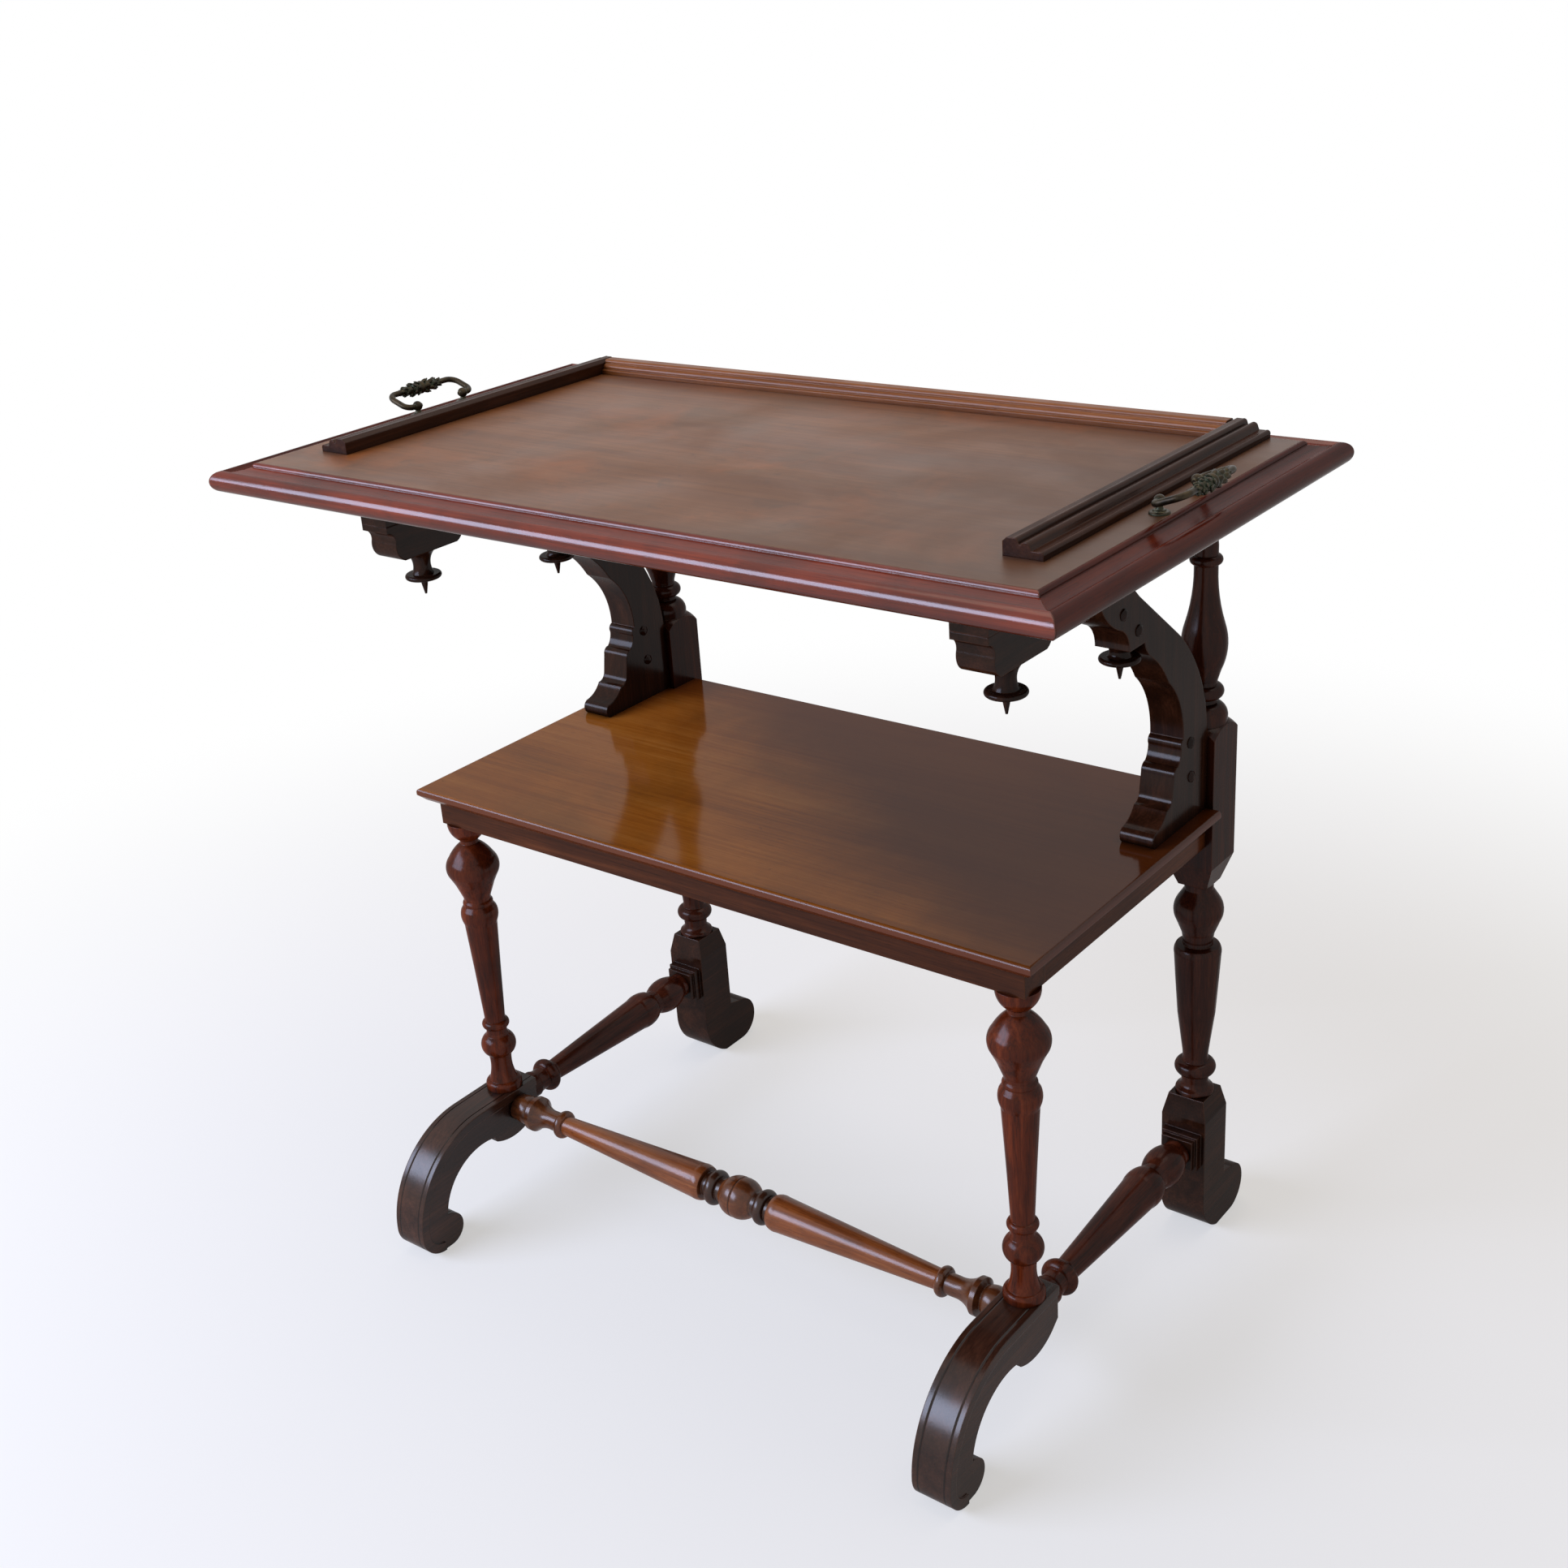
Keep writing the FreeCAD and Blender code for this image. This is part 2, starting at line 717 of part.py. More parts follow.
def bearer_cross_rail():
    body = new_body("bearer_cross_rail")
    half = size.cross_rail_thickness / 2
    half_length = leg_x - size.bearer_width / 2
    pad(body, "XY_Plane", rectangle(-half_length, half_length, -half, half), size.cross_rail_height,
        both_ways=False)
    place(body, nothing, rear_y, bearer_bottom)


# Blocks with ogee ends under the front of the bearers. Shares of length and height.
drop_block_shares = [
    (0.5, 1.0),
    (0.5, 0.82),
    (0.44, 0.74, 0.415, 0.5),
    (0.40, 0.16, 0.33, 0.0),
    (-0.33, 0.0),
    (-0.40, 0.16, -0.415, 0.5),
    (-0.44, 0.74, -0.5, 0.82),
    (-0.5, 1.0),
]


def drop_block(side, sign):
    body = new_body(f"drop_block_{side}")
    runs = shaped(drop_block_shares, size.drop_block_length, size.drop_block_height)
    pad(body, "YZ_Plane", runs, size.bearer_width)
    drill(body, size.pendant_pin_radius + size.glue_line, size.pendant_pin_length + size.socket_spare,
          nothing, nothing, nothing, up)
    place(body, leg_x * sign, drop_block_y, drop_block_bottom)


# Turned pendants: a waisted stem, a thin disc and a spike. Shares of the disc's radius.
stem_waist_share, stem_foot_share = 0.5, 0.6
front_top_share, rear_top_share = 0.92, 0.66
rim_share, spike_root_share, spike_share, point_share = 0.9, 0.5, 0.2, 0.06
# Shares of the spike's length and of the stem's
cone_share, half_share = 0.78, 0.5


def pendant(label, radius, stem, top_share, x, y, seat):
    body = new_body(label)
    disc_low = size.pendant_tip_length
    disc_high = disc_low + size.pendant_disc_thickness
    length = disc_high + stem
    runs = [
        (radius * point_share, nothing),
        (radius * spike_share, disc_low * cone_share),
        (radius * spike_root_share, disc_low),
        (radius * rim_share, disc_low),
        (radius, disc_low + size.pendant_disc_thickness * half_share, radius * rim_share, disc_high),
        (radius * stem_foot_share, disc_high),
        (radius * stem_waist_share, disc_high + stem * half_share, radius * top_share, length),
        (size.pendant_pin_radius, length),
        (size.pendant_pin_radius, length + size.pendant_pin_length),
        (nothing, length + size.pendant_pin_length),
        (nothing, nothing),
    ]
    turn(body, runs)
    place(body, x, y, seat - length)


def pendants(side, sign):
    seat_y, seat_z = pendant_seat()
    pendant(f"front_pendant_{side}", size.front_pendant_radius, size.front_stem_length, front_top_share,
            leg_x * sign, drop_block_y, drop_block_bottom)
    pendant(f"rear_pendant_{side}", size.rear_pendant_radius, size.rear_stem_length, rear_top_share,
            leg_x * sign, block_face_y + seat_y, size.shelf_height + seat_z)


# Tray board, with sockets for the shanks of the handle posts
gallery_x = size.tray_width / 2 - size.strip_inset
bail_x = gallery_x + size.strip_width + size.rosette_gap + size.rosette_radius
bail_y = size.bail_setback - size.tray_forward
bail_z = size.top_height + size.eye_height


def tray_board():
    body = new_body("tray_board")
    half_width = size.tray_width / 2 - size.edge_width
    pad(body, "XY_Plane", rectangle(-half_width, half_width, field_front_y, field_back_y),
        size.board_thickness, board_bottom, both_ways=False)
    for sign in sides.values():
        for end in sides.values():
            drill(body, size.shank_radius + size.glue_line, size.shank_length + size.socket_spare,
                  bail_x * sign, bail_y + size.bail_feet_spacing / 2 * end, size.top_height, down)


# Edge moulding round the tray, mitred at the corners: nose, quirk, cove and a round up to the field
cove_foot_share, cove_back_share, round_foot_share, round_side_share = 0.42, 0.66, 0.885, 0.919
quirk_share, cove_dip_share, round_low_share, round_mid_share = 0.9, 0.91, 0.3, 0.8


def tray_edge(label, length, turned, x, y):
    body = new_body(label)
    width, nose = size.edge_width, size.nose_radius
    height = size.board_thickness + size.edge_drop
    cove = height - size.edge_step
    crown = nose * 2
    runs = [
        (nose, nothing),
        (nothing, nose, nose, crown),
        (width * cove_foot_share, crown * quirk_share),
        (width * cove_back_share, cove * cove_dip_share, width * round_foot_share, cove),
        (width * round_foot_share, cove + size.edge_step * round_low_share),
        (width * round_side_share, cove + size.edge_step * round_mid_share, width, height),
        (width, nothing),
    ]
    pad(body, "YZ_Plane", runs, length)
    sketch = new_sketch(body, "XY_Plane")
    half, past = length / 2, size.overrun
    for sign in sides.values():
        draw(sketch, [
            ((half + past) * sign, -past),
            ((half + past) * sign, width + past),
            ((half - width - past) * sign, width + past),
        ])
    mitre = body.newObject("PartDesign::Pocket", label + "_mitre")
    mitre.Profile = sketch
    mitre.Type = "ThroughAll"
    mitre.SideType = "Symmetric"
    place(body, x, y, tray_bottom, FreeCAD.Rotation(FreeCAD.Vector(0, 0, 1), turned))


def tray_edges():
    half_width = size.tray_width / 2
    tray_edge("tray_edge_front", size.tray_width, 0, nothing, tray_front_y)
    tray_edge("tray_edge_right", size.tray_depth, 90, half_width, -size.tray_forward)
    tray_edge("tray_edge_back", size.tray_width, 180, nothing, tray_back_y)
    tray_edge("tray_edge_left", size.tray_depth, 270, -half_width, -size.tray_forward)


# Gallery strips: two beads inside and a lower step outside. Shares of width and height.
strip_shares = [
    (0.0, 0.78),
    (0.0, 0.0),
    (1.0, 0.0),
    (1.0, 0.22),
    (0.97, 0.42, 0.88, 0.44),
    (0.70, 0.44),
    (0.67, 0.62),
    (0.56, 0.86, 0.45, 0.70),
    (0.40, 0.70),
    (0.38, 0.86),
    (0.35, 0.97, 0.26, 1.0),
    (0.10, 1.0),
]
back_strip_shares = [
    (0.30, 0.72),
    (0.16, 0.58, 0.14, 0.36),
    (0.0, 0.30),
    (0.0, 0.0),
    (1.0, 0.0),
    (1.0, 0.86),
    (0.95, 0.96, 0.82, 1.0),
    (0.46, 1.0),
    (0.34, 0.95, 0.30, 0.84),
]


def gallery_strip(label, table, width, length, turned, x, y):
    body = new_body(label)
    pad(body, "XZ_Plane", shaped(table, width, size.gallery_height), length)
    place(body, x, y, size.top_height, FreeCAD.Rotation(FreeCAD.Vector(0, 0, 1), turned))


def gallery():
    strip_front = tray_front_y + size.strip_setback
    strip_length = field_back_y - strip_front
    for side, sign in sides.items():
        gallery_strip(f"gallery_{side}", strip_shares, size.strip_width, strip_length,
                      0 if sign > 0 else 180, gallery_x * sign, strip_front + strip_length / 2)
    gallery_strip("gallery_back", back_strip_shares, size.back_strip_width, gallery_x * 2, 90,
                  nothing, field_back_y - size.back_strip_width)


# Handle posts: a rosette, a stem and a pierced eye on a screw shank. Shares of rosette radius
# and of the eye's height.
post_shares = [
    (1.0, 0.0),
    (0.98, 0.14, 0.86, 0.2),
    (0.66, 0.2),
    (0.60, 0.3, 0.40, 0.34),
    (0.34, 0.46),
    (0.34, 0.56),
]


def handle_post(side, sign, end, end_sign):
    body = new_body(f"handle_post_{side}_{end}")
    shank = (size.shank_radius, size.shank_length)
    turn(body, lathe(post_shares, size.rosette_radius, size.eye_height, shank))
    eye = size.eye_radius
    turn(body, [(eye, size.eye_height, nothing, size.eye_height + eye), (nothing, size.eye_height - eye)])
    through = eye + size.overrun
    drill(body, size.bail_pin_radius + size.pin_clearance, through * 2, nothing, -through,
          size.eye_height, to_back)
    place(body, bail_x * sign, bail_y + size.bail_feet_spacing / 2 * end_sign, size.top_height)


# Bails: a bent wire with a beaded grip, whose pins turn in the eyes of the posts
bead_shares = (0.6, 0.78, 0.92, 1.0, 0.92, 0.78, 0.6)
bead_row_share, bead_root_share = 0.76, 1.08


def bail(side, sign):
    body = new_body(f"bail_{side}")
    reach, half_span = size.bail_reach * sign, size.bail_span / 2
    pin_half = size.eye_radius + size.pin_end_gap
    pin_in = size.bail_feet_spacing / 2 - pin_half
    pin_out = size.bail_feet_spacing / 2 + pin_half
    low_bend, high_bend = half_span - pin_out, size.bail_corner_radius
    low_slant, high_slant = low_bend * slant_share, high_bend * slant_share
    shoulder, neck = half_span - high_bend, size.bail_reach - high_bend
    low_x, low_mid_x = low_bend * sign, (low_bend - low_slant) * sign
    neck_x, high_mid_x = neck * sign, (neck + high_slant) * sign
    path = new_sketch(body, "XY_Plane")
    draw(path, [
        (nothing, -pin_out),
        (low_mid_x, -(pin_out + low_slant), low_x, -half_span),
        (neck_x, -half_span),
        (high_mid_x, -(shoulder + high_slant), reach, -shoulder),
        (reach, shoulder),
        (high_mid_x, shoulder + high_slant, neck_x, half_span),
        (low_x, half_span),
        (low_mid_x, pin_out + low_slant, nothing, pin_out),
    ], closed=False)
    section = new_sketch(body, "XZ_Plane", pin_out)
    draw_circle(section, size.bail_wire_radius, nothing, nothing)
    wire = body.newObject("PartDesign::AdditivePipe", body.Label + "_wire")
    wire.Profile = section
    wire.Spine = path
    for start in (pin_in, -(pin_out + size.pin_lap)):
        cylinder(body, "Additive", size.bail_pin_radius, pin_half * 2 + size.pin_lap,
                 (nothing, start, nothing), to_back)
    root = size.bail_wire_radius * bead_root_share
    row_end = shoulder * bead_row_share
    bead_length = row_end * 2 / len(bead_shares)
    runs = [(-row_end, root)]
    for index, share in enumerate(bead_shares):
        foot = bead_length * index - row_end
        runs.append((foot + bead_length / 2, size.bail_bead_radius * share, foot + bead_length, root))
    runs += [(row_end, nothing), (-row_end, nothing)]
    turn(body, runs, "YZ_Plane", "H_Axis", reach)
    lean = size.bail_lean_angle * -sign
    place(body, bail_x * sign, bail_y, bail_z, FreeCAD.Rotation(FreeCAD.Vector(0, 1, 0), lean.value))
    body.setExpression("Placement.Rotation.Angle", lean.text)


# Every piece, its check and its file
for side, sign in sides.items():
    front_foot(side, sign)
    rear_foot(side, sign)
    front_leg(side, sign)
    rear_post(side, sign)
    side_stretcher(side, sign)
    bracket(side, sign)
    bearer(side, sign)
    drop_block(side, sign)
    pendants(side, sign)
    bail(side, sign)
    for end, end_sign in (("front", -1), ("back", 1)):
        handle_post(side, sign, end, end_sign)
front_stretcher()
shelf_board()
shelf_rails()
bearer_cross_rail()
tray_board()
tray_edges()
gallery()

doc.recompute()
for item in doc.Objects:
    if {"Invalid", "Error"} & set(item.State):
        raise RuntimeError(f"{item.Label} failed: {item.State}")
os.makedirs("parts", exist_ok=True)
for body in nodes:
    if body.Shape.isNull() or not body.Shape.isValid():
        raise RuntimeError(f"{body.Label} has no valid shape")
    body.Shape.exportStep(f"parts/{body.Label}.step")
    print(body.Label, len(body.Shape.Solids), round(body.Shape.Volume))
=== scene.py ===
import math

import bmesh
import bpy
from mathutils import Matrix, Vector


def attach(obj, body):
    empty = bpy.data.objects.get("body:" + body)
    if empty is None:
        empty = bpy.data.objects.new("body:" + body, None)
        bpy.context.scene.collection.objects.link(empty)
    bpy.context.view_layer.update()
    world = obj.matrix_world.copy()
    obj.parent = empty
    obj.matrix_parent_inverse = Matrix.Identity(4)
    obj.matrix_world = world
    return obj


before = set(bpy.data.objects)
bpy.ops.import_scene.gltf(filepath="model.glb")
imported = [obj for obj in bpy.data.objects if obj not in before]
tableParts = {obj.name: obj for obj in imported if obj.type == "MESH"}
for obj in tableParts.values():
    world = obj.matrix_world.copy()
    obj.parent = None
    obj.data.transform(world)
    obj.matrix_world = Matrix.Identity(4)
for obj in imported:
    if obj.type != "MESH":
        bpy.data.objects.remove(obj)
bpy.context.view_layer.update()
print("frame loaded:", len(tableParts), "parts")

photoCamera = {
    "size": 1932,                                    # pixels along each side of the picture
    "azimuth": 39.299,                               # degrees to the right of the table's front
    "elevation": 23.948,
    "roll": -4.263,
    "distance": 1.696519,
    "target": (-0.009557, -0.002719, 0.463521),
    "focal": 2408.154,                               # pixels
    "sensor": 36,                                    # mm
    "centre": (956.73, 964.577),                     # where the lens axis meets the picture
}


def placeCamera(look):
    turn = math.radians(look["azimuth"])
    lift = math.radians(look["elevation"])
    roll = math.radians(look["roll"])
    ahead = Vector((-math.sin(turn) * math.cos(lift), math.cos(turn) * math.cos(lift), -math.sin(lift)))
    side = ahead.cross(Vector((0, 0, 1))).normalized()
    up = side.cross(ahead)
    rolledSide = math.cos(roll) * side + math.sin(roll) * up
    rolledUp = math.cos(roll) * up - math.sin(roll) * side
    lens = bpy.data.cameras.new("photoCamera")
    lens.sensor_width = look["sensor"]
    lens.lens = look["focal"] / look["size"] * lens.sensor_width
    lens.shift_x = (look["size"] / 2 - look["centre"][0]) / look["size"]
    lens.shift_y = (look["centre"][1] - look["size"] / 2) / look["size"]
    camera = bpy.data.objects.new("photoCamera", lens)
    camera.matrix_world = Matrix((rolledSide, rolledUp, -ahead)).transposed().to_4x4()
    camera.location = Vector(look["target"]) - ahead * look["distance"]
    bpy.context.scene.collection.objects.link(camera)
    bpy.context.scene.camera = camera


placeCamera(photoCamera)
print("camera placed")


perMetre = 1000                                      # the finishes give their sizes in mm


def linear(hexText):
    steps = [int(hexText[i:i + 2], 16) / 255 for i in (1, 3, 5)]
    return [s / 12.92 if s < 0.04045 else ((s + 0.055) / 1.055) ** 2.4 for s in steps] + [1.0]


def addNode(tree, kind, settings=None, links=None):
    node = tree.nodes.new(kind)
    for key, value in (settings or {}).items():
        if key == "stops":                           # a colour ramp's places and colours
            for place, colour in value[2:]:
                node.color_ramp.elements.new(place)
            for element, (place, colour) in zip(node.color_ramp.elements, value):
                element.position = place
                element.color = linear(colour)
        elif isinstance(key, int) or key in node.inputs:
            node.inputs[key].default_value = value
        else:
            setattr(node, key, value)
    for key, socket in (links or {}).items():
        tree.links.new(socket, node.inputs[key])
    return node


def grainScale(axis, length, width):
    return [perMetre / (length if axis == name else width) for name in "xyz"]


def startMaterial(name):
    material = bpy.data.materials.new(name)
    material.use_nodes = True
    material.node_tree.nodes.clear()
    return material


# what all the woods share: the noise values between which a mark comes in, and its share or depth
woodMarks = {
    "fibreShare": 0.42, "toneStops": (0.34, 0.5, 0.66),
    "pore": (14, 0.9), "poreRange": (0.6, 0.72),     # mm, about four times a real pore, so that it shows
    "patchRange": (0.42, 0.68), "rubRange": (0.36, 0.6), "dullRange": (0.35, 0.65),
    "stainStart": 3, "stainStep": 7,                 # where each stain's noise is taken from
    "wander": 0.25,                                  # metres by which the patches move a shaded border
    "bandEdge": 0.003, "cutShare": 0.9, "cutStrength": 0.8, "cutDepth": 0.001,
    # hollowRange: how enclosed a spot is where the painted shade and dirt of the hollows begin, and where
    # they are full
    "hollowRange": (0.9, 0.3), "hollowSamples": 8,
    "edgeRange": (0.985, 0.86), "edgeSamples": 6, "reliefDepth": 0.0004,
    "filmIor": 2.5,                                  # a hard film, which glints as much head on as aslant
}


def makeWood(look):
    material = startMaterial(look["name"])
    tree = material.node_tree
    place = addNode(tree, "ShaderNodeTexCoord").outputs["Object"]

    # the figure is the slow ribbon of light and dark bands, the fibre the fine streaks on it
    axis = look["grain"]
    figureMap = addNode(tree, "ShaderNodeMapping", {"Scale": grainScale(axis, *look["figure"])},
                        {"Vector": place})
    figure = addNode(tree, "ShaderNodeTexNoise", {"Scale": 1, "Detail": 3, "Distortion": 0.7},
                     {"Vector": figureMap.outputs[0]})
    fibreMap = addNode(tree, "ShaderNodeMapping", {"Scale": grainScale(axis, *look["fibre"])},
                       {"Vector": place})
    fibre = addNode(tree, "ShaderNodeTexNoise", {"Scale": 1, "Detail": 4, "Roughness": 0.65},
                    {"Vector": fibreMap.outputs[0]})
    tone = addNode(tree, "ShaderNodeMix", {0: woodMarks["fibreShare"]},
                   {2: figure.outputs[0], 3: fibre.outputs[0]})
    tones = [look["dark"], look["mid"], look["light"]]
    wood = addNode(tree, "ShaderNodeValToRGB", {"stops": list(zip(woodMarks["toneStops"], tones))},
                   {0: tone.outputs[0]})

    # open pores, filled with dirt
    poreMap = addNode(tree, "ShaderNodeMapping", {"Scale": grainScale(axis, *woodMarks["pore"])},
                      {"Vector": place})
    pore = addNode(tree, "ShaderNodeTexNoise", {"Scale": 1, "Detail": 1}, {"Vector": poreMap.outputs[0]})
    low, high = woodMarks["poreRange"]
    poreMask = addNode(tree, "ShaderNodeMapRange",
                       {"From Min": low, "From Max": high, "To Max": look["pores"]},
                       {"Value": pore.outputs[0]})
    pored = addNode(tree, "ShaderNodeMix", {"data_type": "RGBA", 7: linear(look["grimeAndShade"])},
                    {0: poreMask.outputs[0], 6: wood.outputs[0]})

    # old polish lies darker in some places than in others
    patchMap = addNode(tree, "ShaderNodeMapping", {"Scale": [perMetre / look["patch"]] * 3},
                       {"Vector": place})
    patch = addNode(tree, "ShaderNodeTexNoise",
                    {"Scale": 1, "Detail": 4, "Roughness": 0.55, "Distortion": 0.4},
                    {"Vector": patchMap.outputs[0]})
    low, high = woodMarks["patchRange"]
    patchMask = addNode(tree, "ShaderNodeMapRange",
                        {"From Min": low, "From Max": high, "To Max": look["patches"]},
                        {"Value": patch.outputs[0]})
    patched = addNode(tree, "ShaderNodeMix", {"data_type": "RGBA", 7: linear(look["patchColour"])},
                      {0: patchMask.outputs[0], 6: pored.outputs[2]})

    colour = patched.outputs[2]
    for number, (size, low, high, amount, stainColour) in enumerate(look.get("stains", ())):
        shift = number * woodMarks["stainStep"] + woodMarks["stainStart"]
        stainMap = addNode(tree, "ShaderNodeMapping",
                           {"Scale": [perMetre / size] * 3, "Location": [shift] * 3}, {"Vector": place})
        stain = addNode(tree, "ShaderNodeTexNoise",
                        {"Scale": 1, "Detail": 5, "Roughness": 0.6, "Distortion": 0.5},
                        {"Vector": stainMap.outputs[0]})
        stainMask = addNode(tree, "ShaderNodeMapRange",
                            {"From Min": low, "From Max": high, "To Max": amount},
                            {"Value": stain.outputs[0]})
        stained = addNode(tree, "ShaderNodeMix", {"data_type": "RGBA", 7: linear(stainColour)},
                          {0: stainMask.outputs[0], 6: colour})
        colour = stained.outputs[2]

    # painted shade: the piece darker towards one side and the back, by the given slope, where less light
    # and reflection reaches
    parted = addNode(tree, "ShaderNodeSeparateXYZ", {}, {0: place})
    if "paintedShade" in look:
        slope, start, stop, amount, paintedShadeColour = look["paintedShade"]
        across = addNode(tree, "ShaderNodeMath", {"operation": "MULTIPLY_ADD", 1: slope},
                         {0: parted.outputs[1], 2: parted.outputs[0]})
        wander = addNode(tree, "ShaderNodeMath", {"operation": "MULTIPLY_ADD", 1: woodMarks["wander"]},
                         {0: patch.outputs[0], 2: across.outputs[0]})
        paintedShadeMask = addNode(tree, "ShaderNodeMapRange",
                            {"interpolation_type": "SMOOTHSTEP", "From Min": start, "From Max": stop,
                             "To Max": amount},
                            {"Value": wander.outputs[0]})
        shaded = addNode(tree, "ShaderNodeMix", {"data_type": "RGBA", 7: linear(paintedShadeColour)},
                         {0: paintedShadeMask.outputs[0], 6: colour})
        colour = shaded.outputs[2]
    if "lip" in look:                                # an edge that is darker lower down
        low, high, amount, lipColour = look["lip"]
        lipMask = addNode(tree, "ShaderNodeMapRange",
                          {"From Min": high / perMetre, "From Max": low / perMetre, "To Max": amount},
                          {"Value": parted.outputs[2]})
        lipped = addNode(tree, "ShaderNodeMix", {"data_type": "RGBA", 7: linear(lipColour)},
                         {0: lipMask.outputs[0], 6: colour})
        colour = lipped.outputs[2]

    # bands of darker polish, and lines cut along or round a piece, by their distance from the middle
    distance = addNode(tree, "ShaderNodeMath", {"operation": "ABSOLUTE"}, {0: parted.outputs[0]})
    edge = woodMarks["bandEdge"]
    for low, high, amount in look.get("bands", ()):
        start, stop = low / perMetre, high / perMetre
        after = addNode(tree, "ShaderNodeMapRange", {"From Min": start, "From Max": start + edge},
                        {"Value": distance.outputs[0]})
        before = addNode(tree, "ShaderNodeMapRange",
                         {"From Min": stop, "From Max": stop - edge, "To Max": amount},
                         {"Value": distance.outputs[0]})
        band = addNode(tree, "ShaderNodeMath", {"operation": "MULTIPLY"},
                       {0: after.outputs[0], 1: before.outputs[0]})
        banded = addNode(tree, "ShaderNodeMix", {"data_type": "RGBA", 7: linear(look["grimeAndShade"])},
                         {0: band.outputs[0], 6: colour})
        colour = banded.outputs[2]
    cuts = []
    for at, width in look.get("lines", ()):
        offset = addNode(tree, "ShaderNodeMath", {"operation": "SUBTRACT", 1: at / perMetre},
                         {0: distance.outputs[0]})
        near = addNode(tree, "ShaderNodeMath", {"operation": "ABSOLUTE"}, {0: offset.outputs[0]})
        cut = addNode(tree, "ShaderNodeMapRange",
                      {"From Min": width / perMetre, "From Max": 0.0, "To Max": woodMarks["cutShare"]},
                      {"Value": near.outputs[0]})
        lined = addNode(tree, "ShaderNodeMix", {"data_type": "RGBA", 7: linear(look["grimeAndShade"])},
                        {0: cut.outputs[0], 6: colour})
        colour = lined.outputs[2]
        cuts.append(cut)

    # painted shade in the hollows, darkest where most enclosed, together with the dirt and wax that stay
    # there
    hollow = addNode(tree, "ShaderNodeAmbientOcclusion",
                     {"samples": woodMarks["hollowSamples"], "Distance": look["hollow"] / perMetre})
    shallow, deep = woodMarks["hollowRange"]
    hollowMask = addNode(tree, "ShaderNodeMapRange",
                         {"From Min": shallow, "From Max": deep, "To Max": look["hollowShadeAndDirt"]},
                         {"Value": hollow.outputs["AO"]})
    shadedAndWaxed = addNode(tree, "ShaderNodeMix", {"data_type": "RGBA", 7: linear(look["grimeAndShade"])},
                    {0: hollowMask.outputs[0], 6: colour})

    # edges are rounded by handling, and rubbed paler in places
    rounded = addNode(tree, "ShaderNodeBevel",
                      {"samples": woodMarks["edgeSamples"], "Radius": look["edge"] / perMetre})
    surface = addNode(tree, "ShaderNodeNewGeometry")
    facing = addNode(tree, "ShaderNodeVectorMath", {"operation": "DOT_PRODUCT"},
                     {0: rounded.outputs[0], 1: surface.outputs["Normal"]})
    flat, turned = woodMarks["edgeRange"]
    edgeMask = addNode(tree, "ShaderNodeMapRange", {"From Min": flat, "From Max": turned},
                       {"Value": facing.outputs["Value"]})
    low, high = woodMarks["rubRange"]
    rubMask = addNode(tree, "ShaderNodeMapRange",
                      {"From Min": low, "From Max": high, "To Max": look["rubs"]},
                      {"Value": patch.outputs[0]})
    rubbed = addNode(tree, "ShaderNodeMath", {"operation": "MULTIPLY"},
                     {0: edgeMask.outputs[0], 1: rubMask.outputs[0]})
    worn = addNode(tree, "ShaderNodeMix", {"data_type": "RGBA", 7: linear(look["rubColour"])},
                   {0: rubbed.outputs[0], 6: shadedAndWaxed.outputs[2]})

    low, high = woodMarks["dullRange"]
    bright, dim = look["rough"]
    dull = addNode(tree, "ShaderNodeMapRange",
                   {"From Min": low, "From Max": high, "To Min": bright, "To Max": dim},
                   {"Value": patch.outputs[0]})
    relief = addNode(tree, "ShaderNodeMath", {"operation": "SUBTRACT"},
                     {0: fibre.outputs[0], 1: poreMask.outputs[0]})
    bump = addNode(tree, "ShaderNodeBump",
                   {"Strength": look["relief"], "Distance": woodMarks["reliefDepth"]},
                   {"Height": relief.outputs[0], "Normal": rounded.outputs[0]})
    for cut in cuts:
        bump = addNode(tree, "ShaderNodeBump",
                       {"Strength": woodMarks["cutStrength"], "Distance": woodMarks["cutDepth"],
                        "invert": True},
                       {"Height": cut.outputs[0], "Normal": bump.outputs[0]})
    finish = addNode(tree, "ShaderNodeBsdfPrincipled",
                     {"IOR": look["ior"], "Coat Weight": look["coat"], "Coat Roughness": look["coatRough"],
                      "Coat IOR": woodMarks["filmIor"]},
                     {"Base Color": worn.outputs[2], "Roughness": dull.outputs[0],
                      "Normal": bump.outputs[0], "Coat Normal": bump.outputs[0]})
    addNode(tree, "ShaderNodeOutputMaterial", {}, {"Surface": finish.outputs[0]})
    return material


def dress(material, *names):
    for name in names:
        for spot in tableParts[name].material_slots:
            spot.material = material


# hand-rubbed mahogany that has lost its polish: grey-brown and satin, with stains in the film
trayField = {
    "name": "wornMahoganyField", "grain": "x", "figure": (420, 34), "fibre": (160, 3.2),
    "dark": "#5b3318", "mid": "#6d411f", "light": "#7e4f2a", "pores": 0.3, "grimeAndShade": "#2c190f",
    "patch": 150, "patches": 0.45, "patchColour": "#5d3a20", "hollow": 14, "hollowShadeAndDirt": 0.6,
    # stains: size in mm, noise range, share, colour; grey haze, orange where the film is gone, dark specks
    "stains": [(190, 0.5, 0.68, 0.6, "#54402f"), (95, 0.54, 0.7, 0.55, "#8c4f22"),
               (34, 0.6, 0.72, 0.45, "#4a3120"), (7, 0.66, 0.74, 0.5, "#38210f")],
    "paintedShade": (0.0, 0.1, 0.56, 0.75, "#43260f"),      # painted shade, darker to the right: slope to the back, start and stop in m, share, colour
    "edge": 1.5, "rubs": 0.4, "rubColour": "#93683f", "rough": (0.36, 0.5), "relief": 0.1,
    "ior": 1.33, "coat": 0.0, "coatRough": 0.2,
}
dress(makeWood(trayField), "tray_board")

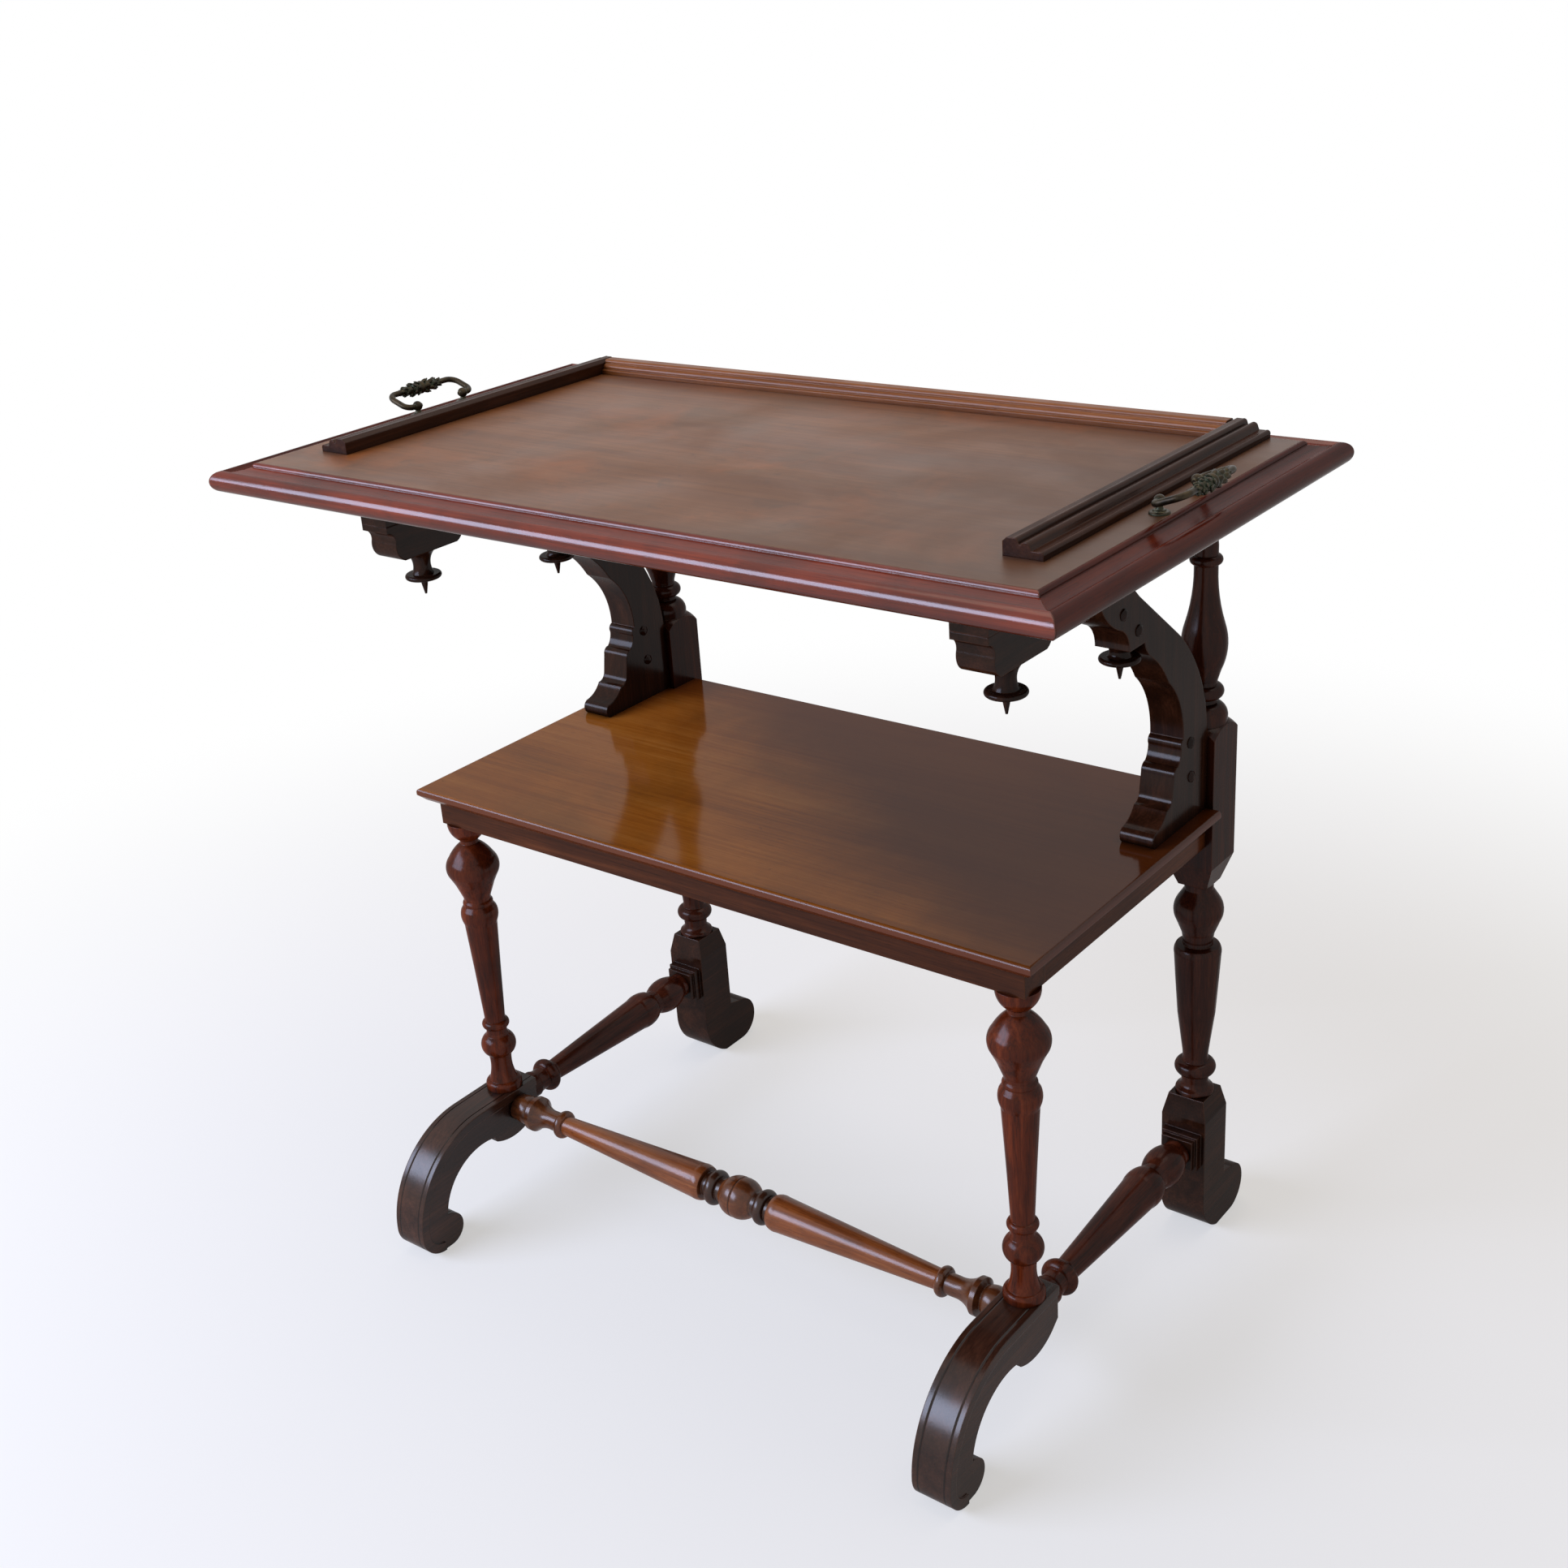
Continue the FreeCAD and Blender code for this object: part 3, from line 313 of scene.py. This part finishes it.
# french-polished mahogany mouldings: red-brown under a clear glossy film
trayMoulding = {
    "name": "polishedMahoganyMouldingAcross", "grain": "x", "figure": (300, 16), "fibre": (110, 2.2),
    "dark": "#50180a", "mid": "#70230f", "light": "#88341a", "pores": 0.4, "grimeAndShade": "#1d0d07",
    "patch": 60, "patches": 0.5, "patchColour": "#3c130a", "hollow": 6, "hollowShadeAndDirt": 0.85,
    "lip": (738.5, 747.0, 0.75, "#2a0d06"),          # painted shade under the nose: heights in mm, share, colour
    "edge": 1.5, "rubs": 0.3, "rubColour": "#8f5431", "rough": (0.16, 0.26), "relief": 0.08,
    "ior": 1.06, "coat": 0.22, "coatRough": 0.13,
}
dress(makeWood(trayMoulding), "tray_edge_front", "tray_edge_back")
# the end mouldings get darker colours: painted shade, as they take less light than the front
trayMoulding.update({"name": "polishedMahoganyMouldingEnds", "grain": "y",
                     "dark": "#3a1208", "mid": "#511a0d", "light": "#672813", "coat": 0.08})
dress(makeWood(trayMoulding), "tray_edge_left", "tray_edge_right")

# the back strip is a paler, more orange mahogany
galleryBack = {
    "name": "orangeMahoganyStrip", "grain": "x", "figure": (260, 10), "fibre": (120, 1.8),
    "dark": "#683717", "mid": "#834b22", "light": "#975c30", "pores": 0.35, "grimeAndShade": "#2a150a",
    "patch": 90, "patches": 0.4, "patchColour": "#653618", "hollow": 9, "hollowShadeAndDirt": 0.75,
    "edge": 1.2, "rubs": 0.5, "rubColour": "#a8703d", "rough": (0.26, 0.4), "relief": 0.1,
    "ior": 1.12, "coat": 0.09, "coatRough": 0.22,
}
dress(makeWood(galleryBack), "gallery_back")

# the end strips are stained almost black, with a waxed sheen
gallerySide = {
    "name": "blackStainedMahoganyStrip", "grain": "y", "figure": (240, 12), "fibre": (100, 1.8),
    "dark": "#2a150d", "mid": "#3a2014", "light": "#4d2c1b", "pores": 0.3, "grimeAndShade": "#120906",
    "patch": 50, "patches": 0.5, "patchColour": "#28150d", "hollow": 9, "hollowShadeAndDirt": 0.8,
    "edge": 1.2, "rubs": 0.6, "rubColour": "#75482b", "rough": (0.24, 0.36), "relief": 0.1,
    "ior": 1.08, "coat": 0.06, "coatRough": 0.2,
}
dress(makeWood(gallerySide), "gallery_left", "gallery_right")

# the shelf kept its french polish: golden brown, and a mirror when seen low
shelf = {
    "name": "frenchPolishedMahoganyShelf", "grain": "x", "figure": (480, 40), "fibre": (180, 3.0),
    "dark": "#874916", "mid": "#a8601d", "light": "#b8722d", "pores": 0.25, "grimeAndShade": "#241208",
    "patch": 170, "patches": 0.35, "patchColour": "#753c14", "hollow": 16, "hollowShadeAndDirt": 0.7,
    "stains": [(120, 0.52, 0.7, 0.4, "#744719"), (9, 0.67, 0.74, 0.35, "#4a2810")],
    "paintedShade": (1.7, -0.05, 0.32, 0.9, "#4c200b"),     # painted shade, for the shadow and the fading reflection to the right and back: slope to the back, start and stop in m, share, colour
    "lip": (440.8, 441.8, 0.9, "#5a2611"),           # heights in mm, share, colour
    "edge": 1.5, "rubs": 0.3, "rubColour": "#8a4c1c", "rough": (0.1, 0.18), "relief": 0.04,
    "ior": 1.05, "coat": 0.14, "coatRough": 0.09,
}
dress(makeWood(shelf), "shelf_board")

# turned mahogany, stained red-brown and polished on the lathe
turning = {
    "name": "polishedMahoganyTurning", "grain": "z", "figure": (140, 9), "fibre": (70, 1.6),
    "dark": "#381408", "mid": "#5c230d", "light": "#763317", "pores": 0.35, "grimeAndShade": "#150804",
    "patch": 55, "patches": 0.5, "patchColour": "#2a1109", "hollow": 9, "hollowShadeAndDirt": 0.9,
    "edge": 1.0, "rubs": 0.5, "rubColour": "#7c4526", "rough": (0.18, 0.3), "relief": 0.08,
    "ior": 1.06, "coat": 0.065, "coatRough": 0.2,
}
dress(makeWood(turning), "front_leg_left", "front_leg_right")

# the turnings further back have kept more of their dark stain
darkTurning = dict(turning)
darkTurning.update({
    "name": "darkMahoganyPost",
    "dark": "#230e07", "mid": "#3a180d", "light": "#502614", "patchColour": "#200d07",
    "ior": 1.05, "coat": 0.06,
})
dress(makeWood(darkTurning), "rear_post_left", "rear_post_right")
darkTurning.update({"name": "darkMahoganySideStretcher", "grain": "y",
                    "mid": "#4a1f11", "light": "#5f2d19"})
dress(makeWood(darkTurning), "side_stretcher_left", "side_stretcher_right")

# the long stretcher is lighter, with dark polish in its rings and a line round its ball
stretcher = {
    "name": "lightMahoganyStretcher", "grain": "x", "figure": (200, 9), "fibre": (90, 1.6),
    "dark": "#5f3014", "mid": "#84441c", "light": "#9a5a2c", "pores": 0.4, "grimeAndShade": "#20100a",
    "patch": 70, "patches": 0.4, "patchColour": "#5b2f17", "hollow": 10, "hollowShadeAndDirt": 0.9,
    # by distance in mm from the middle: bands from, to and share, lines at and half width
    "bands": [(0, 16, 0.4), (16, 39, 0.85), (215, 290, 0.55)], "lines": [(0, 1.3)],
    "edge": 1.0, "rubs": 0.4, "rubColour": "#9b6538", "rough": (0.24, 0.38), "relief": 0.1,
    "ior": 1.12, "coat": 0.17, "coatRough": 0.22,
}
dress(makeWood(stretcher), "front_stretcher")

# the shelf's rails, stained darker than the board on them
rail = {
    "name": "polishedMahoganyRailAcross", "grain": "x", "figure": (240, 12), "fibre": (100, 1.8),
    "dark": "#34170a", "mid": "#4c2511", "light": "#623319", "pores": 0.35, "grimeAndShade": "#150904",
    "patch": 80, "patches": 0.5, "patchColour": "#30160b", "hollow": 12, "hollowShadeAndDirt": 0.85,
    "edge": 1.5, "rubs": 0.5, "rubColour": "#7b4828", "rough": (0.22, 0.34), "relief": 0.1,
    "ior": 1.06, "coat": 0.06, "coatRough": 0.16,
}
dress(makeWood(rail), "shelf_rail_front", "shelf_rail_back")
rail.update({"name": "polishedMahoganyRailEnds", "grain": "y"})
dress(makeWood(rail), "shelf_rail_left", "shelf_rail_right")

# almost black pendants, where old polish has run together
pendant = {
    "name": "blackenedMahoganyPendant", "grain": "z", "figure": (60, 7), "fibre": (40, 1.4),
    "dark": "#1c0e08", "mid": "#2a150d", "light": "#3b2014", "pores": 0.3, "grimeAndShade": "#0c0604",
    "patch": 25, "patches": 0.5, "patchColour": "#180d08", "hollow": 7, "hollowShadeAndDirt": 0.85,
    "edge": 0.8, "rubs": 0.6, "rubColour": "#5c3723", "rough": (0.2, 0.32), "relief": 0.08,
    "ior": 1.05, "coat": 0.05, "coatRough": 0.16,
}
dress(makeWood(pendant), "front_pendant_left", "front_pendant_right", "rear_pendant_left",
      "rear_pendant_right")

# the frame is stained a dark brown that is nearly black, under the same polish
darkFrame = {
    "name": "darkMahoganyUpright", "grain": "z", "figure": (180, 14), "fibre": (80, 2.0),
    "dark": "#1f0f08", "mid": "#2f180d", "light": "#432416", "pores": 0.35, "grimeAndShade": "#0d0604",
    "patch": 60, "patches": 0.5, "patchColour": "#1c0e08", "hollow": 10, "hollowShadeAndDirt": 0.85,
    "edge": 1.5, "rubs": 0.6, "rubColour": "#683d25", "rough": (0.2, 0.34), "relief": 0.1,
    "ior": 1.04, "coat": 0.07, "coatRough": 0.15,
}
dress(makeWood(darkFrame), "bracket_left", "bracket_right")
darkFrame.update({"name": "darkMahoganyBearer", "grain": "y"})
dress(makeWood(darkFrame), "bearer_left", "bearer_right", "drop_block_left", "drop_block_right",
      "rear_foot_left", "rear_foot_right")
darkFrame.update({"name": "darkMahoganyCrossRail", "grain": "x"})
dress(makeWood(darkFrame), "bearer_cross_rail")

# the front feet are browner, and have a line cut along each edge of the sweep
footMiddle, lineOffset, lineWidth = 296.5, 12.4, 1.1         # mm
frontFoot = dict(darkFrame)
frontFoot.update({
    "name": "darkMahoganyFoot", "grain": "y", "dark": "#26130b", "mid": "#3a2015", "light": "#4f2e1f",
    "lines": [(footMiddle - lineOffset, lineWidth), (footMiddle + lineOffset, lineWidth)],
    "ior": 1.05, "coat": 0.17, "coatRough": 0.22,
})
dress(makeWood(frontFoot), "front_foot_left", "front_foot_right")
print("wood dressed")

# cast bronze: brown patina, green where hands don't reach, rubbed to metal on the high spots
bronze = {
    "name": "patinatedBronze",
    "metal": "#3d3426", "brown": "#1b1713", "green": "#3f4c3b", "bright": "#786848",
    "spot": 9, "grit": 1.2, "hollow": 5, "edge": 0.8, "rough": (0.32, 0.55),
    "brownStops": (0.35, 0.62), "hollowRange": (0.95, 0.35), "greenShare": 0.85, "hollowSamples": 8,
    "edgeRange": (0.985, 0.85), "brightShare": 0.8, "edgeSamples": 6,
    "bare": (0.9, 0.35),                             # how metallic it is, from the open to the hollows
    "dullRange": (0.3, 0.7), "gritStrength": 0.25, "gritDepth": 0.0003,
}


def makeBronze(look):
    material = startMaterial(look["name"])
    tree = material.node_tree
    place = addNode(tree, "ShaderNodeTexCoord").outputs["Object"]
    spotMap = addNode(tree, "ShaderNodeMapping", {"Scale": [perMetre / look["spot"]] * 3},
                      {"Vector": place})
    spot = addNode(tree, "ShaderNodeTexNoise", {"Scale": 1, "Detail": 5, "Roughness": 0.6},
                   {"Vector": spotMap.outputs[0]})
    tones = [look["brown"], look["metal"]]
    brown = addNode(tree, "ShaderNodeValToRGB", {"stops": list(zip(look["brownStops"], tones))},
                    {0: spot.outputs[0]})
    hollow = addNode(tree, "ShaderNodeAmbientOcclusion",
                     {"samples": look["hollowSamples"], "Distance": look["hollow"] / perMetre})
    shallow, deep = look["hollowRange"]
    hollowMask = addNode(tree, "ShaderNodeMapRange",
                         {"From Min": shallow, "From Max": deep, "To Max": look["greenShare"]},
                         {"Value": hollow.outputs["AO"]})
    green = addNode(tree, "ShaderNodeMix", {"data_type": "RGBA", 7: linear(look["green"])},
                    {0: hollowMask.outputs[0], 6: brown.outputs[0]})
    rounded = addNode(tree, "ShaderNodeBevel",
                      {"samples": look["edgeSamples"], "Radius": look["edge"] / perMetre})
    surface = addNode(tree, "ShaderNodeNewGeometry")
    facing = addNode(tree, "ShaderNodeVectorMath", {"operation": "DOT_PRODUCT"},
                     {0: rounded.outputs[0], 1: surface.outputs["Normal"]})
    flat, turned = look["edgeRange"]
    edgeMask = addNode(tree, "ShaderNodeMapRange",
                       {"From Min": flat, "From Max": turned, "To Max": look["brightShare"]},
                       {"Value": facing.outputs["Value"]})
    rubbed = addNode(tree, "ShaderNodeMix", {"data_type": "RGBA", 7: linear(look["bright"])},
                     {0: edgeMask.outputs[0], 6: green.outputs[2]})
    bare = addNode(tree, "ShaderNodeMapRange", {"To Min": look["bare"][0], "To Max": look["bare"][1]},
                   {"Value": hollowMask.outputs[0]})
    low, high = look["dullRange"]
    bright, dim = look["rough"]
    dull = addNode(tree, "ShaderNodeMapRange",
                   {"From Min": low, "From Max": high, "To Min": bright, "To Max": dim},
                   {"Value": spot.outputs[0]})
    gritMap = addNode(tree, "ShaderNodeMapping", {"Scale": [perMetre / look["grit"]] * 3},
                      {"Vector": place})
    grit = addNode(tree, "ShaderNodeTexNoise", {"Scale": 1, "Detail": 3}, {"Vector": gritMap.outputs[0]})
    bump = addNode(tree, "ShaderNodeBump",
                   {"Strength": look["gritStrength"], "Distance": look["gritDepth"]},
                   {"Height": grit.outputs[0], "Normal": rounded.outputs[0]})
    finish = addNode(tree, "ShaderNodeBsdfPrincipled", {},
                     {"Base Color": rubbed.outputs[2], "Metallic": bare.outputs[0],
                      "Roughness": dull.outputs[0], "Normal": bump.outputs[0]})
    addNode(tree, "ShaderNodeOutputMaterial", {}, {"Surface": finish.outputs[0]})
    return material


dress(makeBronze(bronze), "bail_left", "bail_right", "handle_post_left_front", "handle_post_left_back",
      "handle_post_right_front", "handle_post_right_back")
print("bronze dressed")


def finishPiece(mesh, name, look):
    bmesh.ops.recalc_face_normals(mesh, faces=mesh.faces)
    for face in mesh.faces:
        face.smooth = True
    data = bpy.data.meshes.new(name)
    mesh.to_mesh(data)
    mesh.free()
    data.materials.append(bpy.data.materials[look["name"]])
    piece = bpy.data.objects.new(name, data)
    bpy.context.scene.collection.objects.link(piece)
    return piece


# small turned buttons on both cheeks of the scroll brackets
bracketButton = {
    "radius": 0.0048, "rise": 0.0026, "collar": 0.0009, "sink": 0.001, "steps": 24,
    "shoulderShare": 0.8, "domeShares": [(0.62, 0.8), (0.3, 1.0), (0.0, 1.0)],       # of radius and rise
    "places": [(0.026, 0.659), (0.050, 0.639), (0.140, 0.513), (0.142, 0.482)],      # back, and up
    "legX": 0.2965, "halfThickness": 0.015, "mergeGap": 0.00001,
}


def makeButtons(side, sign, look):
    radius, collar = look["radius"], look["collar"]
    outline = [(radius, -look["sink"]), (radius, collar), (radius * look["shoulderShare"], collar)]
    outline += [(radius * across, look["rise"] * up) for across, up in look["domeShares"]]
    mesh = bmesh.new()
    for y, z in look["places"]:
        for cheek in (-1, 1):
            points = [mesh.verts.new((across, 0, up)) for across, up in outline]
            edges = [mesh.edges.new(pair) for pair in zip(points, points[1:])]
            bmesh.ops.spin(mesh, geom=points + edges, cent=(0, 0, 0), axis=(0, 0, 1), angle=math.tau,
                           steps=look["steps"], use_merge=True)
            fresh = [v for v in mesh.verts if not v.tag]
            bmesh.ops.rotate(mesh, verts=fresh, cent=(0, 0, 0),
                             matrix=Matrix.Rotation(math.pi / 2 * cheek, 3, "Y"))
            spot = (look["legX"] * sign + look["halfThickness"] * cheek, y, z)
            bmesh.ops.translate(mesh, verts=fresh, vec=spot)
            for v in fresh:
                v.tag = True
    bmesh.ops.remove_doubles(mesh, verts=mesh.verts, dist=look["mergeGap"])
    buttons = finishPiece(mesh, "bracketButtons_" + side, pendant)
    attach(buttons, "base")


for side, sign in (("left", -1), ("right", 1)):
    makeButtons(side, sign, bracketButton)
print("buttons turned")

# cast leaves that lap along each bail's grip, from its middle to its ends
gripLeaf = {
    "pivot": (0.3695, -0.004, 0.769), "reach": 0.026, "lean": 20,
    # each row's distance from the middle, and its size
    "stations": [(0.0025, 1.0), (0.0075, 1.0), (0.0125, 0.88), (0.0175, 0.74), (0.0215, 0.58)],
    "round": 5, "length": 0.0036, "width": 0.0022, "thickness": 0.0011, "tilt": 26, "seat": 0.0042,
    "segments": (10, 6),
}


def makeGripLeaves(side, sign, look):
    lean, tilt = math.radians(look["lean"]), math.radians(look["tilt"])
    outward = Vector((sign * math.cos(lean), 0, math.sin(lean)))
    across = Vector((-sign * math.sin(lean), 0, math.cos(lean)))
    along = Vector((0, 1, 0))
    pivotX, pivotY, pivotZ = look["pivot"]
    middle = Vector((pivotX * sign, pivotY, pivotZ)) + outward * look["reach"]
    around, upward = look["segments"]
    mesh = bmesh.new()
    for end in (-1, 1):
        for row, (station, share) in enumerate(look["stations"]):
            for step in range(look["round"]):
                angle = math.tau * (step + row % 2 / 2) / look["round"]
                radial = outward * math.cos(angle) + across * math.sin(angle)
                tip = along * end * math.cos(tilt) + radial * math.sin(tilt)
                face = radial * math.cos(tilt) - along * end * math.sin(tilt)
                foot = middle + along * end * station + radial * look["seat"] * share
                centre = foot + tip * look["length"] / 2 * share
                turned = Matrix((tip, face.cross(tip), face)).transposed().to_4x4()
                sizes = (look["length"] * share, look["width"] * share, look["thickness"], 1)
                setting = Matrix.Translation(centre) @ turned @ Matrix.Diagonal(sizes)
                bmesh.ops.create_uvsphere(mesh, u_segments=around, v_segments=upward, radius=1,
                                          matrix=setting)
    leaves = finishPiece(mesh, "gripLeaves_" + side, bronze)
    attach(leaves, "bail_" + side)


for side, sign in (("left", -1), ("right", 1)):
    makeGripLeaves(side, sign, gripLeaf)
print("grip leaves cast")

studio = {
    "floorSize": 60.0, "floorDrop": 0.0005, "floorColour": "#f8f7f5",
    "speck": 40, "tooth": 0.05, "toothDepth": 0.0005,
    "fade": (0.6, 1.7),                              # metres over which the floor turns to plain white
    "lift": 0.5,                                     # how white it is already under the table
    "worldLight": 0.27, "worldColour": "#f8f3ee",
    # each lamp: place, what it points at, width, height, watts, colour
    "lamps": {
        "window": ((-1.62, -2.32, 1.7), (0, 0, 0.5), 2.4, 1.3, 112, "#d2deff"),
        "overhead": ((0.1, 0.4, 2.5), (0, 0, 0.4), 2.0, 2.0, 16, "#ffead6"),
    },
}


def seenRay(tree):                                   # rays that see the background as the camera does
    ray = addNode(tree, "ShaderNodeLightPath")
    seen = ray.outputs["Is Camera Ray"]
    for name in ("Is Glossy Ray", "Is Transmission Ray"):
        either = addNode(tree, "ShaderNodeMath", {"operation": "MAXIMUM"},
                         {0: seen, 1: ray.outputs[name]})
        seen = either.outputs[0]
    return seen


def makeStudio(look):
    mesh = bmesh.new()
    bmesh.ops.create_grid(mesh, x_segments=1, y_segments=1, size=look["floorSize"] / 2)
    bmesh.ops.translate(mesh, verts=mesh.verts, vec=(0, 0, -look["floorDrop"]))
    data = bpy.data.meshes.new("studioFloor")
    mesh.to_mesh(data)
    mesh.free()
    floor = bpy.data.objects.new("studioFloor", data)
    bpy.context.scene.collection.objects.link(floor)
    paper = startMaterial("matteFloorPaper")         # rolled paper, with a faint tooth
    tree = paper.node_tree
    place = addNode(tree, "ShaderNodeTexCoord").outputs["Object"]
    speckMap = addNode(tree, "ShaderNodeMapping", {"Scale": [perMetre / look["speck"]] * 3},
                       {"Vector": place})
    speck = addNode(tree, "ShaderNodeTexNoise", {"Scale": 1, "Detail": 4}, {"Vector": speckMap.outputs[0]})
    bump = addNode(tree, "ShaderNodeBump", {"Strength": look["tooth"], "Distance": look["toothDepth"]},
                   {"Height": speck.outputs[0]})
    matte = addNode(tree, "ShaderNodeBsdfDiffuse", {"Color": linear(look["floorColour"])},
                    {"Normal": bump.outputs[0]})
    reach = addNode(tree, "ShaderNodeVectorMath", {"operation": "LENGTH"}, {0: place})
    near, distant = look["fade"]
    far = addNode(tree, "ShaderNodeMapRange",
                  {"interpolation_type": "SMOOTHSTEP", "From Min": near, "From Max": distant,
                   "To Min": look["lift"]},
                  {"Value": reach.outputs["Value"]})
    whiteMask = addNode(tree, "ShaderNodeMath", {"operation": "MULTIPLY"},
                        {0: far.outputs[0], 1: seenRay(tree)})
    white = addNode(tree, "ShaderNodeEmission", {"Color": (1, 1, 1, 1), "Strength": 1.0})
    faded = addNode(tree, "ShaderNodeMixShader", {},
                    {0: whiteMask.outputs[0], 1: matte.outputs[0], 2: white.outputs[0]})
    addNode(tree, "ShaderNodeOutputMaterial", {}, {"Surface": faded.outputs[0]})
    data.materials.append(paper)

    world = bpy.data.worlds.new("studioWorld")
    world.use_nodes = True
    tree = world.node_tree
    tree.nodes.clear()
    lit = addNode(tree, "ShaderNodeBackground",
                  {"Color": linear(look["worldColour"]), "Strength": look["worldLight"]})
    white = addNode(tree, "ShaderNodeBackground", {"Color": (1, 1, 1, 1), "Strength": 1.0})
    both = addNode(tree, "ShaderNodeMixShader", {},
                   {0: seenRay(tree), 1: lit.outputs[0], 2: white.outputs[0]})
    addNode(tree, "ShaderNodeOutputWorld", {}, {"Surface": both.outputs[0]})
    bpy.context.scene.world = world

    for name, (spot, aim, width, height, watts, colour) in look["lamps"].items():
        lamp = bpy.data.lights.new(name, "AREA")
        lamp.shape = "RECTANGLE"
        lamp.size = width
        lamp.size_y = height
        lamp.energy = watts
        lamp.color = linear(colour)[:3]
        holder = bpy.data.objects.new(name, lamp)
        holder.location = spot
        holder.rotation_euler = (Vector(aim) - Vector(spot)).to_track_quat("-Z", "Y").to_euler()
        bpy.context.scene.collection.objects.link(holder)


makeStudio(studio)
bpy.context.scene.view_settings.view_transform = "Standard"
print("studio lit")
